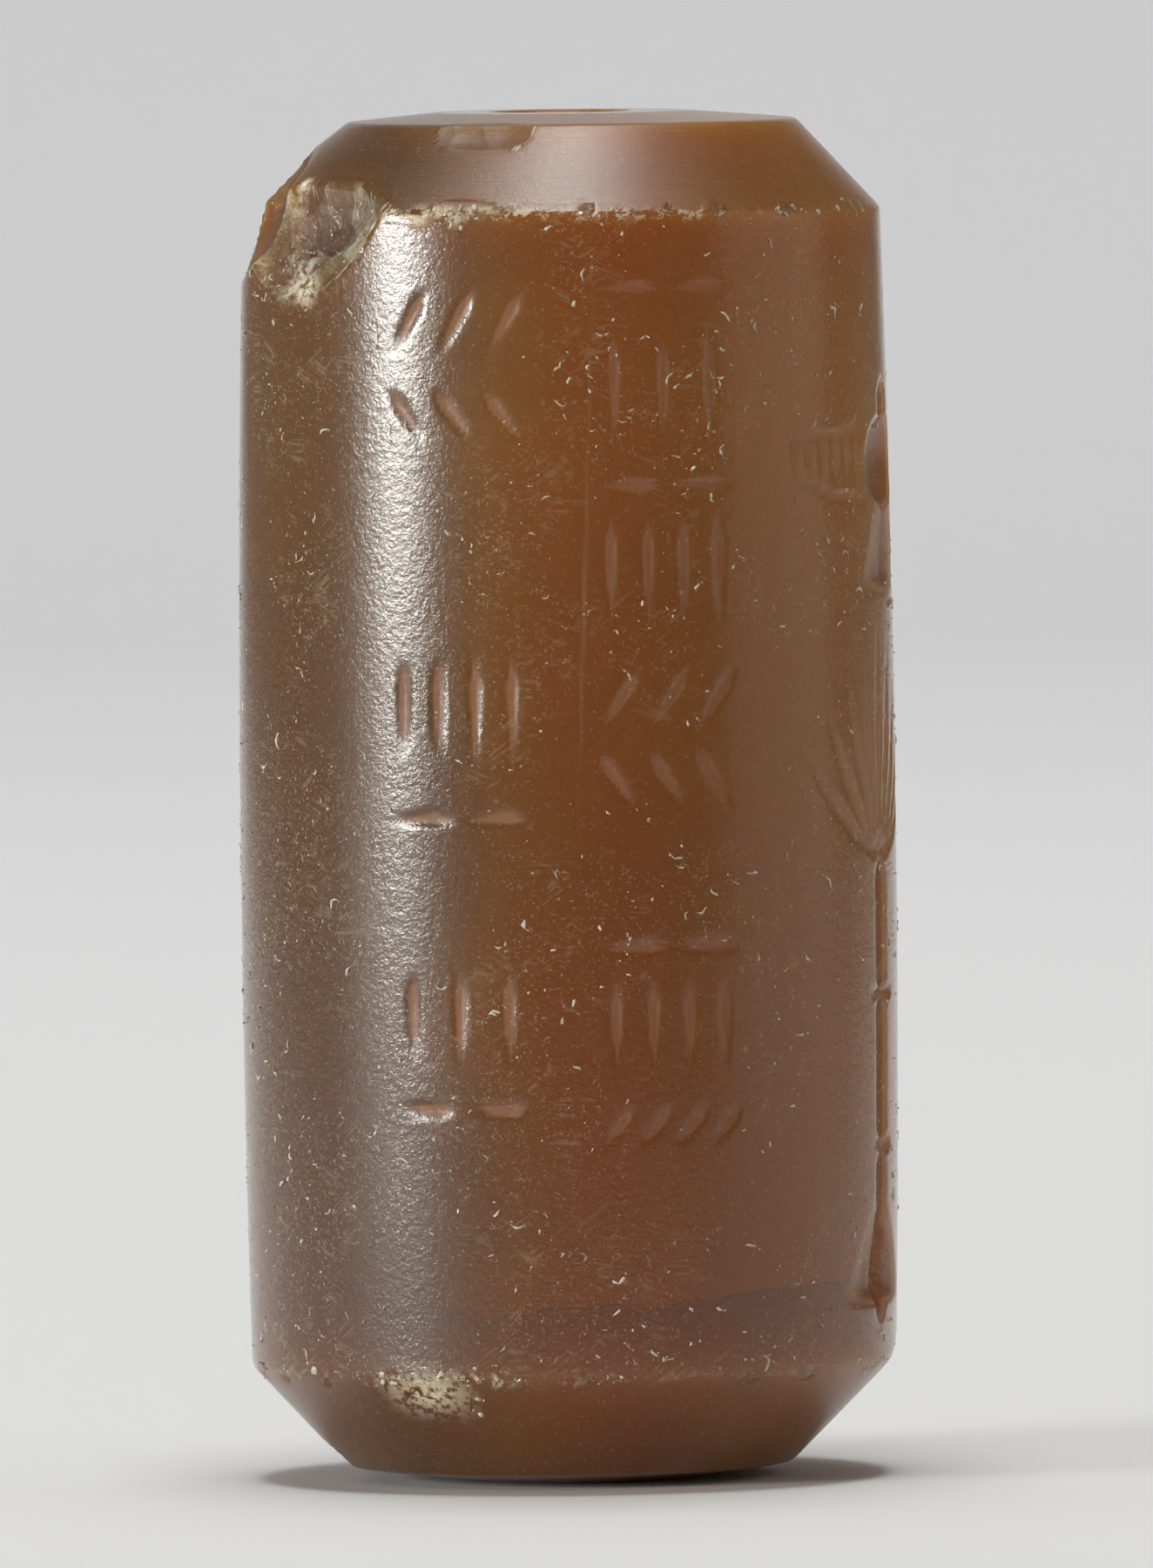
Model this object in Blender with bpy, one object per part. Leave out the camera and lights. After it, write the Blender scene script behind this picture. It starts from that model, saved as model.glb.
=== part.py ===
"""Cylinder seal of brown chalcedony, standing on one end.

A barrelled drum of stone, bevelled at both ends and drilled lengthwise. Its wall carries two
columns of short engraved strokes with a rule between them, a spread bird above a ringed plant,
and the same plant once more at the back. Both edges of the wall are chipped.

Metres, +Z up. The origin is the middle of the resting end. Angles are degrees round the axis:
0 faces the front, which is -Y, and they grow towards +X.
"""

import math
import random

import bmesh
import bpy
from mathutils import Matrix, Vector, noise

# Stone
HEIGHT = 0.0360
WIDEST_DIAMETER = 0.0173
TOP_EDGE_DIAMETER = 0.0168
FOOT_EDGE_DIAMETER = 0.0170
WIDEST_SHARE = 0.42  # how far up the wall it is widest
EDGE_SOFTENING = 0.00018  # wear on each side of the two edges of the wall

# Upper end: a shallow dome inside a bevel that is a little out of centre
TOP_RIM_DIAMETER = 0.0118
TOP_RIM_SHIFT = 0.00030
TOP_DOME_RISE = 0.00023
TOP_BEVEL_HEIGHT = 0.00225
TOP_EDGE_TILT = -0.00012

# Lower end
FOOT_RIM_DIAMETER = 0.0118
FOOT_RIM_SHIFT = -0.00014
FOOT_CONE_RISE = 0.00036
FOOT_BEVEL_HEIGHT = 0.0027
FOOT_EDGE_TILT = 0.00005

# Bore, with a flat land round each mouth
BORE_DIAMETER = 0.0032
MOUTH_CHAMFER = 0.00025
LAND_DIAMETER = 0.0066

# Engraving in general
CUTTER_LIFT = 0.00010  # how far a cutter stands clear of the wall
STROKE_WIDTH = 0.00048
STROKE_DEPTH = 0.00022

# Inscription: rows of plain strokes in two columns
COLUMN_WIDTH = 0.0040
LEFT_COLUMN_ANGLE = -19.5
RIGHT_COLUMN_ANGLE = 18.0
# Each row: its place up the wall from 0 to 1, the strokes' lean, their number and their length.
LEFT_ROWS = (
    (0.905, 30.0, 3, 0.0020),
    (0.825, -38.0, 3, 0.0018),
    (0.570, 0.0, 4, 0.0031),
    (0.482, 90.0, 2, 0.0018),
    (0.307, 0.0, 3, 0.0026),
    (0.232, 90.0, 2, 0.0018),
)
RIGHT_ROWS = (
    (0.935, 90.0, 2, 0.0018),
    (0.845, 0.0, 3, 0.0030),
    (0.765, 90.0, 2, 0.0018),
    (0.690, 0.0, 4, 0.0030),
    (0.580, 35.0, 3, 0.0020),
    (0.510, -35.0, 3, 0.0020),
    (0.370, 90.0, 2, 0.0018),
    (0.300, 0.0, 4, 0.0024),
    (0.215, 40.0, 4, 0.0013),
)

# Rule between the columns
RULE_WIDTH = 0.00030
RULE_DEPTH = 0.00010
RULE_TOP_ANGLE = 5.6
RULE_FOOT_ANGLE = 0.8
RULE_TOP_SHARE = 0.975
RULE_FOOT_SHARE = 0.36

# Bird with spread wings
BIRD_ANGLE = 79.0
BIRD_SHARE = 0.778
BIRD_BODY_WIDTH = 0.0040
BIRD_BODY_HEIGHT = 0.0024
BIRD_DEPTH = 0.00045
BIRD_HEAD_SIZE = 0.0011
WING_REACH = 0.0054
WING_BONE_RISE = 0.0004
WING_TIP_RISE = 0.0008
WING_EDGE_WIDTH = 0.00034
WING_EDGE_DEPTH = 0.00010
WING_FEATHERS = 6
FEATHER_LENGTH = 0.0018
FEATHER_WIDTH = 0.00034
FEATHER_DEPTH = 0.00013
TAIL_LENGTH = 0.0029
TAIL_WIDTH = 0.0046
TAIL_DEPTH = 0.00026

# Ringed plant
PLANT_ANGLE = 71.5
BACK_PLANT_ANGLE = 168.0
CROWN_SHARE = 0.436
PLANT_FOOT_SHARE = 0.05
STEM_WIDTH = 0.0011
STEM_DEPTH = 0.00032
STEM_RING_SHARES = (0.36, 0.70)
STEM_RING_REACH = 0.0009
FRONDS = 9
FROND_REACH = 0.0041
INNER_FROND_HEIGHT = 0.0066
OUTER_FROND_HEIGHT = 0.0031
FROND_WIDTH = 0.00050
FROND_DEPTH = 0.00026
FLARE_HEIGHT = 0.0019
FLARE_WIDTH = 0.0050
FLARE_DEPTH = 0.00034

# Chips. Each one: edge, angle, length along the edge, width across it, depth, slide down the face.
CHIPS = (
    ("top", -58.0, 0.0068, 0.0038, 0.00065, 0.0010),
    ("top", -88.0, 0.0060, 0.0036, 0.00062, 0.0006),
    ("top", -38.0, 0.0011, 0.0012, 0.00030, -0.0001),
    ("top", -18.0, 0.0024, 0.0009, 0.00022, 0.0001),
    ("top", 118.0, 0.0031, 0.0018, 0.00040, 0.0003),
    ("top", 203.0, 0.0044, 0.0022, 0.00045, 0.0002),
    ("top rim", -22.0, 0.0040, 0.0016, 0.00020, 0.0),
    ("top rim", 150.0, 0.0022, 0.0010, 0.00028, 0.0),
    ("foot", -31.0, 0.0030, 0.0014, 0.00034, -0.0003),
    ("foot", 88.0, 0.0018, 0.0012, 0.00026, 0.0002),
    ("foot", 224.0, 0.0036, 0.0018, 0.00042, 0.0002),
    ("foot rim", -92.0, 0.0052, 0.0019, 0.00030, 0.0),
)
NICKS_PER_EDGE = 26
NICK_LENGTH = 0.0009
NICK_DEPTH = 0.00013
CHIP_ROUGHNESS = 0.16

SEGMENTS = 96
WALL_RINGS = 9

STONE_COLOUR = (0.176, 0.066, 0.018, 1.0)
STONE_ROUGHNESS = 0.28

LAND_RADIUS = LAND_DIAMETER / 2
BORE_RADIUS = BORE_DIAMETER / 2
MOUTH_RADIUS = BORE_RADIUS + MOUTH_CHAMFER
WIDEST_RADIUS = WIDEST_DIAMETER / 2
TOP_RIM_HEIGHT = HEIGHT - TOP_DOME_RISE
TOP_EDGE_HEIGHT = TOP_RIM_HEIGHT - TOP_BEVEL_HEIGHT
FOOT_EDGE_HEIGHT = FOOT_CONE_RISE + FOOT_BEVEL_HEIGHT
WALL_HEIGHT = TOP_EDGE_HEIGHT - FOOT_EDGE_HEIGHT
WIDEST_HEIGHT = FOOT_EDGE_HEIGHT + WIDEST_SHARE * WALL_HEIGHT


def up_the_wall(share):
    """Height of a place on the wall, 0 at its lower edge and 1 at its upper edge."""
    return FOOT_EDGE_HEIGHT + share * WALL_HEIGHT


def wall_radius(height):
    """Radius of the barrelled wall: a parabola on each side of its widest height."""
    if height > WIDEST_HEIGHT:
        edge_radius = TOP_EDGE_DIAMETER / 2
        reach = TOP_EDGE_HEIGHT - WIDEST_HEIGHT
    else:
        edge_radius = FOOT_EDGE_DIAMETER / 2
        reach = WIDEST_HEIGHT - FOOT_EDGE_HEIGHT
    share = (height - WIDEST_HEIGHT) / reach
    return WIDEST_RADIUS - (WIDEST_RADIUS - edge_radius) * share * share


def around(angle, radius, height, shift=0.0):
    """Point at this angle and radius, on a circle whose centre is moved along X by the shift."""
    turn = math.radians(angle)
    return Vector((shift + radius * math.sin(turn), -radius * math.cos(turn), height))


def off_wall(angle, height, lift):
    """Point this far outside the wall, or inside it where the lift is negative."""
    return around(angle, wall_radius(height) + lift, height)


def edge_point(name, angle):
    """Point on one of the four edges of the stone."""
    lean = math.sin(math.radians(angle))
    if name == "top":
        height = TOP_EDGE_HEIGHT + TOP_EDGE_TILT * lean
        return around(angle, wall_radius(height), height)
    if name == "top rim":
        return around(angle, TOP_RIM_DIAMETER / 2, TOP_RIM_HEIGHT, TOP_RIM_SHIFT)
    if name == "foot":
        height = FOOT_EDGE_HEIGHT + FOOT_EDGE_TILT * lean
        return around(angle, wall_radius(height), height)
    return around(angle, FOOT_RIM_DIAMETER / 2, FOOT_CONE_RISE, FOOT_RIM_SHIFT)


def wall_point(angle, share):
    """Point on the wall between its two softened edges, at a share of the way up."""
    low = edge_point("foot", angle).z + EDGE_SOFTENING
    high = edge_point("top", angle).z - EDGE_SOFTENING
    height = low + share * (high - low)
    return around(angle, wall_radius(height), height)


def along_bevel(edge, rim, angle):
    """Point on the bevel, just past the softened edge of the wall."""
    start = edge_point(edge, angle)
    end = edge_point(rim, angle)
    return start + (end - start).normalized() * EDGE_SOFTENING


def stone_profile(angle):
    """Outline of the stone at one angle, from the lower mouth up the outside and down the bore."""
    outline = [around(angle, MOUTH_RADIUS, 0.0), around(angle, LAND_RADIUS, 0.0)]
    outline.append(edge_point("foot rim", angle))
    outline.append(along_bevel("foot", "foot rim", angle))
    for ring in range(WALL_RINGS):
        outline.append(wall_point(angle, ring / (WALL_RINGS - 1)))
    outline.append(along_bevel("top", "top rim", angle))
    outline.append(edge_point("top rim", angle))
    outline.append(around(angle, LAND_RADIUS, HEIGHT))
    outline.append(around(angle, MOUTH_RADIUS, HEIGHT))
    outline.append(around(angle, BORE_RADIUS, HEIGHT - MOUTH_CHAMFER))
    outline.append(around(angle, BORE_RADIUS, MOUTH_CHAMFER))
    return outline


def make_stone():
    """The uncut seal: its outline turned round the axis and closed through the bore."""
    bm = bmesh.new()
    columns = []
    for segment in range(SEGMENTS):
        outline = stone_profile(360.0 * segment / SEGMENTS)
        columns.append([bm.verts.new(point) for point in outline])
    count = len(columns[0])
    for segment in range(SEGMENTS):
        here = columns[segment]
        there = columns[(segment + 1) % SEGMENTS]
        for i in range(count):
            j = (i + 1) % count
            bm.faces.new((here[i], there[i], there[j], here[j]))
    return bm


def groove(bm, path, half_widths, depths, blunt=False):
    """Adds the cutter of a V-shaped groove along a path on the wall.

    The path holds (angle, height). It runs out to nothing at both ends, and a blunt one stops
    square at its last point. The widths and depths belong to the points in between, and to the
    last one too where it is blunt.
    """
    first = path[0]
    inner = path[1:] if blunt else path[1:-1]
    sections = []
    for i, (angle, height) in enumerate(inner, start=1):
        before = path[i - 1]
        after = path[min(i + 1, len(path) - 1)]
        radius = wall_radius(height)
        along = math.radians(after[0] - before[0]) * radius
        up = after[1] - before[1]
        run = math.hypot(along, up)
        depth = depths[i - 1]
        reach = half_widths[i - 1] * (1.0 + CUTTER_LIFT / depth)
        turn = math.degrees(up / run * reach / radius)
        rise = along / run * reach
        crown = CUTTER_LIFT * 3.0 + reach * reach / radius
        corners = (
            off_wall(angle - turn, height + rise, CUTTER_LIFT),
            off_wall(angle, height, -depth),
            off_wall(angle + turn, height - rise, CUTTER_LIFT),
            off_wall(angle, height, crown),
        )
        sections.append([bm.verts.new(corner) for corner in corners])

    def runs_out(end, beside, depth):
        stretch = 1.0 + CUTTER_LIFT / depth
        angle = beside[0] + (end[0] - beside[0]) * stretch
        height = beside[1] + (end[1] - beside[1]) * stretch
        return bm.verts.new(off_wall(angle, height, CUTTER_LIFT))

    start = runs_out(first, path[1], depths[0])
    for k in range(4):
        bm.faces.new((start, sections[0][k], sections[0][(k + 1) % 4]))
    for low, high in zip(sections, sections[1:]):
        for k in range(4):
            n = (k + 1) % 4
            bm.faces.new((low[k], high[k], high[n], low[n]))
    last = sections[-1]
    if blunt:
        bm.faces.new(last[::-1])
        return
    end = runs_out(path[-1], path[-2], depths[-1])
    for k in range(4):
        bm.faces.new((last[k], end, last[(k + 1) % 4]))


def hollow(bm, angle, height, half_width, half_height, depth):
    """Adds the cutter of a rounded hollow in the wall."""
    outward = around(angle, 1.0, 0.0)
    sideways = around(angle + 90.0, 1.0, 0.0)
    axes = Matrix((sideways * half_width, Vector((0.0, 0.0, half_height)), outward * depth))
    place = Matrix.Translation(off_wall(angle, height, 0.0)) @ axes.transposed().to_4x4()
    bmesh.ops.create_icosphere(bm, subdivisions=2, radius=1.0, matrix=place)


def stroke(bm, angle, height, lean, length):
    """Adds one stroke of the inscription, fuller at its head than at its tail."""
    radius = wall_radius(height)
    turn = math.radians(lean)
    path = []
    for share in (-0.5, -0.25, 0.1, 0.5):
        sideways = -share * length * math.sin(turn)
        path.append((
            angle + math.degrees(sideways / radius),
            height - share * length * math.cos(turn),
        ))
    half = STROKE_WIDTH / 2
    groove(bm, path, (half, half * 0.75), (STROKE_DEPTH, STROKE_DEPTH * 0.8))


def inscription(bm):
    """Adds the cutters of two columns of strokes, and of the rule between them."""
    for column_angle, rows in (
        (LEFT_COLUMN_ANGLE, LEFT_ROWS),
        (RIGHT_COLUMN_ANGLE, RIGHT_ROWS),
    ):
        for share, lean, count, length in rows:
            height = up_the_wall(share)
            for i in range(count):
                offset = (i - (count - 1) / 2) * COLUMN_WIDTH / count
                turn = math.degrees(offset / wall_radius(height))
                stroke(bm, column_angle + turn, height, lean, length)
    path = []
    for i in range(5):
        angle = RULE_TOP_ANGLE + (RULE_FOOT_ANGLE - RULE_TOP_ANGLE) * i / 4
        share = RULE_TOP_SHARE + (RULE_FOOT_SHARE - RULE_TOP_SHARE) * i / 4
        path.append((angle, up_the_wall(share)))
    groove(bm, path, (RULE_WIDTH / 2,) * 3, (RULE_DEPTH,) * 3)


def wing_edge(bm, side, height, tip_rise):
    """Adds one long edge of a wing, from the shoulder out to a tip that is higher or lower."""
    shoulder = BIRD_BODY_WIDTH * 0.35
    path = []
    for share in (0.0, 0.3, 0.6, 0.85, 1.05):
        reach = shoulder + (WING_REACH - shoulder) * share
        turn = side * math.degrees(reach / wall_radius(height))
        path.append((BIRD_ANGLE + turn, height + tip_rise * share ** 3))
    groove(bm, path, (WING_EDGE_WIDTH / 2,) * 3, (WING_EDGE_DEPTH,) * 3)


def bird(bm):
    """Adds a rounded body and head, two wings of hanging feathers, and a square-ended tail."""
    height = up_the_wall(BIRD_SHARE)
    radius = wall_radius(height)
    hollow(bm, BIRD_ANGLE, height, BIRD_BODY_WIDTH / 2, BIRD_BODY_HEIGHT / 2, BIRD_DEPTH)
    head_height = height + BIRD_BODY_HEIGHT / 2 + BIRD_HEAD_SIZE * 0.3
    head_half = BIRD_HEAD_SIZE / 2
    hollow(bm, BIRD_ANGLE, head_height, head_half, head_half, BIRD_DEPTH * 0.6)
    shoulder = BIRD_BODY_WIDTH / 2
    wing_top = height + BIRD_BODY_HEIGHT * 0.35
    step = (WING_REACH - shoulder) / WING_FEATHERS
    half = FEATHER_WIDTH / 2
    for side in (-1.0, 1.0):
        for i in range(WING_FEATHERS):
            angle = BIRD_ANGLE + side * math.degrees((shoulder + (i + 0.5) * step) / radius)
            length = FEATHER_LENGTH * (1.0 - 0.06 * i)
            path = [(angle, wing_top), (angle, wing_top - length * 0.5)]
            path.append((angle + side * 0.8, wing_top - length))
            groove(bm, path, (half,), (FEATHER_DEPTH,))
        for low, tip_rise in ((wing_top, -WING_BONE_RISE), (wing_top - FEATHER_LENGTH, WING_TIP_RISE)):
            wing_edge(bm, side, low, tip_rise)
    tail_top = height - BIRD_BODY_HEIGHT * 0.25
    path = [(BIRD_ANGLE, tail_top)]
    path.append((BIRD_ANGLE, tail_top - TAIL_LENGTH * 0.4))
    path.append((BIRD_ANGLE, tail_top - TAIL_LENGTH))
    half = TAIL_WIDTH / 2
    groove(bm, path, (half * 0.55, half), (TAIL_DEPTH, TAIL_DEPTH), blunt=True)


def plant(bm, angle):
    """Adds a ringed stem on a flared foot, with fronds that fan out from its crown."""
    foot = up_the_wall(PLANT_FOOT_SHARE)
    crown = up_the_wall(CROWN_SHARE)
    flare_top = foot + FLARE_HEIGHT
    stem_half = STEM_WIDTH / 2
    path = [(angle, crown + STEM_WIDTH)]
    for i in range(4):
        path.append((angle, crown + (flare_top - crown) * i / 3))
    path.append((angle, foot))
    groove(bm, path, (stem_half,) * 4, (STEM_DEPTH,) * 4)
    path = [(angle, flare_top + FLARE_HEIGHT * 0.5), (angle, flare_top), (angle, foot)]
    half = FLARE_WIDTH / 2
    groove(bm, path, (half * 0.3, half), (FLARE_DEPTH * 0.8, FLARE_DEPTH), blunt=True)
    for share in STEM_RING_SHARES:
        height = foot + share * (crown - foot)
        turn = math.degrees(STEM_RING_REACH / wall_radius(height))
        path = [(angle - turn, height), (angle, height), (angle + turn, height)]
        groove(bm, path, (STROKE_WIDTH / 2,), (STEM_DEPTH * 1.25,))
    radius = wall_radius(crown)
    for i in range(FRONDS):
        spread = 2.0 * i / (FRONDS - 1) - 1.0
        side = spread * FROND_REACH
        drop = (INNER_FROND_HEIGHT - OUTER_FROND_HEIGHT) * abs(spread) ** 1.3
        tip = INNER_FROND_HEIGHT - drop
        path = []
        for along, up in ((0.06, 0.02), (0.36, 0.20), (0.66, 0.50), (1.0, 1.0)):
            path.append((angle + math.degrees(side * along / radius), crown + tip * up))
        half = FROND_WIDTH / 2
        groove(bm, path, (half * 0.7, half), (FROND_DEPTH, FROND_DEPTH))


def scoop(bm, edge, angle, length, width, depth, slide, seed):
    """Adds the cutter of a chip: a rough pebble sunk into an edge of the stone."""
    point = edge_point(edge, angle)
    up = 1.0 if edge.startswith("top") else -1.0
    outward = (around(angle, 1.0, 0.0) + Vector((0.0, 0.0, up))).normalized()
    sideways = around(angle + 90.0, 1.0, 0.0)
    across = outward.cross(sideways).normalized()
    thickness = max(width, depth * 2.0)
    centre = point + outward * (thickness - depth) - Vector((0.0, 0.0, up * slide))
    axes = Matrix((sideways * length, across * width, outward * thickness)).transposed()
    # A ball of this size cuts the stated length where it is sunk to the stated depth.
    sunk = depth / thickness
    reach = math.sqrt(max(1.0 - (1.0 - sunk) ** 2, 0.05)) * 2.0
    place = Matrix.Translation(centre) @ axes.to_4x4()
    fineness = 3 if length > 0.0025 else 2
    made = bmesh.ops.create_icosphere(bm, subdivisions=fineness, radius=1.0)
    for vert in made["verts"]:
        bump = noise.noise(vert.co * 1.7 + Vector((seed * 3.1, 0.0, 0.0)))
        bump += 0.5 * noise.noise(vert.co * 4.3 + Vector((0.0, seed * 5.3, 0.0)))
        local = vert.co * (1.0 + CHIP_ROUGHNESS * bump)
        local.x /= reach
        local.y /= reach
        vert.co = place @ local


def chips(bm):
    """Adds the large chips, and a run of small nicks along both edges of the wall."""
    for seed, (edge, angle, length, width, depth, slide) in enumerate(CHIPS):
        scoop(bm, edge, angle, length, width, depth, slide, seed)
    chance = random.Random(7)
    for edge in ("top", "foot"):
        for i in range(NICKS_PER_EDGE):
            angle = 360.0 * (i + chance.uniform(0.1, 0.9)) / NICKS_PER_EDGE
            size = chance.uniform(0.5, 1.2)
            depth = NICK_DEPTH * chance.uniform(0.6, 1.4)
            scoop(bm, edge, angle, NICK_LENGTH * size, NICK_LENGTH * 0.6, depth, 0.0, 100 + i)


def new_object(name, bm):
    """Turns a bmesh into an object in the scene, with its faces outwards."""
    bmesh.ops.recalc_face_normals(bm, faces=bm.faces)
    mesh = bpy.data.meshes.new(name)
    bm.to_mesh(mesh)
    bm.free()
    made = bpy.data.objects.new(name, mesh)
    bpy.context.scene.collection.objects.link(made)
    return made


def cut(stone, name, bm):
    """Takes a cutter out of the stone."""
    cutter = new_object(name, bm)
    cutter.hide_render = True
    cutter.display_type = "WIRE"
    modifier = stone.modifiers.new(name, "BOOLEAN")
    modifier.operation = "DIFFERENCE"
    modifier.solver = "EXACT"
    modifier.use_self = True
    modifier.object = cutter


def chalcedony():
    """Brown, waxy chalcedony."""
    material = bpy.data.materials.new("chalcedony")
    material.use_nodes = True
    shader = material.node_tree.nodes["Principled BSDF"]
    shader.inputs["Base Color"].default_value = STONE_COLOUR
    shader.inputs["Roughness"].default_value = STONE_ROUGHNESS
    shader.inputs["Metallic"].default_value = 0.0
    return material


for existing in list(bpy.data.objects):
    bpy.data.objects.remove(existing, do_unlink=True)

seal = new_object("cylinder_seal", make_stone())
seal.data.materials.append(chalcedony())
seal.data.shade_smooth()
seal.data.set_sharp_from_angle(angle=math.radians(20.0))

# One cutter holds all that is taken away, so that the stone is cut once.
removed = bmesh.new()
chips(removed)
inscription(removed)
bird(removed)
plant(removed, PLANT_ANGLE)
plant(removed, BACK_PLANT_ANGLE)
cut(seal, "carving_and_chips", removed)
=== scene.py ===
# %% [markdown]
# # An ancient cylinder seal of brown chalcedony
# A cylinder seal is a small drum of hard stone, drilled from end to end and engraved on its wall.
# Rolled over damp clay, it leaves its picture and its lines of signs as a raised band.
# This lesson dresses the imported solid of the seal: the same stone, with its carving cut fine,
# its worn and chipped skin, and the cream crust that burial left in the breaks.

# %% Load the frame
import math
import random

import bmesh
import bpy
import numpy as np
from mathutils import Matrix, Vector, noise


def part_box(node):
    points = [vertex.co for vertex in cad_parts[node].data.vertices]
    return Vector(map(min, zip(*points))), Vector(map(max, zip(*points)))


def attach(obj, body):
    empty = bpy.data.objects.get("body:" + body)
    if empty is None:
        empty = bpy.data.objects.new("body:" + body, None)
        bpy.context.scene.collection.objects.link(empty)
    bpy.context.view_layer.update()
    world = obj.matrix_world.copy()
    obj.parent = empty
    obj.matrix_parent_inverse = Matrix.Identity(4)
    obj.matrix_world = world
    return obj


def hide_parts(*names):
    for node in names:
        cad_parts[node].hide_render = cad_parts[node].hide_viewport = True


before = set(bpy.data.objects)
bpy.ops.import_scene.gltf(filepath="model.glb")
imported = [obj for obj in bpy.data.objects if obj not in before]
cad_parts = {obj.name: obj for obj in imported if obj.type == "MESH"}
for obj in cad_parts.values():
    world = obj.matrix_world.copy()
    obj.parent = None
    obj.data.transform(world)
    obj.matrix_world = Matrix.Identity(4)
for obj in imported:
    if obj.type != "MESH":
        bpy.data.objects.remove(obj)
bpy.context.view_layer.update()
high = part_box("cylinder_seal")[1]
HEIGHT = high[2]
WIDEST_RADIUS = high[0]
MM = 0.001
print(f"seal {HEIGHT / MM:.1f} mm tall, {2 * WIDEST_RADIUS / MM:.1f} mm across")

# %% [markdown]
# ## Camera
# The photograph was taken from far away with a long lens, a little above the seal, so both ends
# look almost flat. The distance sets how much of the lower rim's curve shows. The lens follows
# from the size of the seal in the picture, and a small roll gives its slight lean.

# %% Place the camera
CAMERA_DISTANCE = 0.725
CAMERA_HEIGHT = 0.051
CAMERA_AIM = Vector((0.00023, 0.0, 0.01825))
CAMERA_ROLL = math.radians(-0.67)
PIXELS_PER_MM = 43.57
FRAME_HEIGHT_PIXELS = 1800
SENSOR = 36.0

camera_data = bpy.data.cameras.new("camera")
camera_data.sensor_width = SENSOR
camera_data.sensor_fit = "AUTO"
camera_data.lens = PIXELS_PER_MM * CAMERA_DISTANCE / MM / FRAME_HEIGHT_PIXELS * SENSOR
camera_data.clip_start = 0.01
camera = bpy.data.objects.new("camera", camera_data)
camera.location = (0.0, -CAMERA_DISTANCE, CAMERA_HEIGHT)
look = (CAMERA_AIM - camera.location).to_track_quat("-Z", "Y")
camera.rotation_euler = (look.to_matrix() @ Matrix.Rotation(CAMERA_ROLL, 3, "Z")).to_euler()
bpy.context.scene.collection.objects.link(camera)
bpy.context.scene.camera = camera
print(f"lens {camera_data.lens:.0f} mm at {CAMERA_DISTANCE} m")

# %% [markdown]
# ## Small helpers for node trees
# Every material and every Geometry Nodes tree below is built with the same few functions, so that
# a tree reads as a list of named steps. A value is set on a socket, and a socket is linked.

# %% Node helpers
def enabled_socket(sockets, name):
    """First socket of this name that is in use, because some nodes hide several of one name."""
    return next(socket for socket in sockets if socket.name == name and socket.enabled)


def add_node(tree, kind, inputs=None, **settings):
    """Adds a node, sets its options, then links or sets its inputs."""
    made = tree.nodes.new(kind)
    for name, value in settings.items():
        setattr(made, name, value)
    for name, value in (inputs or {}).items():
        socket = made.inputs[name] if isinstance(name, int) else enabled_socket(made.inputs, name)
        if isinstance(value, bpy.types.NodeSocket):
            tree.links.new(value, socket)
        else:
            socket.default_value = value
    return made


def maths(tree, operation, *values, clamp=False):
    """Adds one Math node and returns its result."""
    inputs = dict(enumerate(values))
    made = add_node(tree, "ShaderNodeMath", inputs, operation=operation, use_clamp=clamp)
    return made.outputs[0]


def times(tree, first, second):
    """One value times another."""
    return maths(tree, "MULTIPLY", first, second)


def larger(tree, first, second):
    """The larger of two values."""
    return maths(tree, "MAXIMUM", first, second)


def vector_maths(tree, operation, first, second):
    """Adds one Vector Math node. Its second value is a vector, or a number where it scales."""
    inputs = {0: first, "Scale" if operation == "SCALE" else 1: second}
    return add_node(tree, "ShaderNodeVectorMath", inputs, operation=operation).outputs[0]


def axes_of(tree, place):
    """The X, Y and Z of a place."""
    return add_node(tree, "ShaderNodeSeparateXYZ", {0: place}).outputs


def remap(tree, value, start, end, low_value=0.0, high_value=1.0, kind="SMOOTHSTEP"):
    """Maps start..end to low_value..high_value, softly, and holds it there outside."""
    names = ("Value", "From Min", "From Max", "To Min", "To Max")
    inputs = dict(zip(names, (value, start, end, low_value, high_value)))
    return add_node(tree, "ShaderNodeMapRange", inputs, interpolation_type=kind).outputs["Result"]


def mix_colours(tree, factor, first, second, blend="MIX"):
    """Mixes two colours by a mask."""
    inputs = {0: factor, 6: first, 7: second}
    return add_node(tree, "ShaderNodeMix", inputs, data_type="RGBA", blend_type=blend).outputs[2]


def cloudy(tree, place, scale, detail, roughness):
    """A soft noise, from 0 to 1."""
    return add_node(tree, "ShaderNodeTexNoise", {
        "Vector": place, "Scale": scale, "Detail": detail, "Roughness": roughness,
    }).outputs["Fac"]


def new_group(kind, name, inputs, outputs):
    """Starts a node group with named sockets, given as {name: (socket type, default)}."""
    tree = bpy.data.node_groups.new(name, kind)
    for side, sockets in (("INPUT", inputs), ("OUTPUT", outputs)):
        for label, (socket_type, value) in sockets.items():
            socket = tree.interface.new_socket(label, in_out=side, socket_type=socket_type)
            if value is not None:
                socket.default_value = value
    start = tree.nodes.new("NodeGroupInput")
    end = tree.nodes.new("NodeGroupOutput")
    return tree, start.outputs, end.inputs


def finish_tree(tree, geometry, given, made):
    """Ends a Geometry Nodes tree: real geometry, in the material that was given."""
    real = add_node(tree, "GeometryNodeRealizeInstances", {"Geometry": geometry})
    dressed = add_node(tree, "GeometryNodeSetMaterial", {
        "Geometry": real.outputs[0], "Material": given["Material"],
    })
    tree.links.new(dressed.outputs[0], made["Geometry"])


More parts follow.
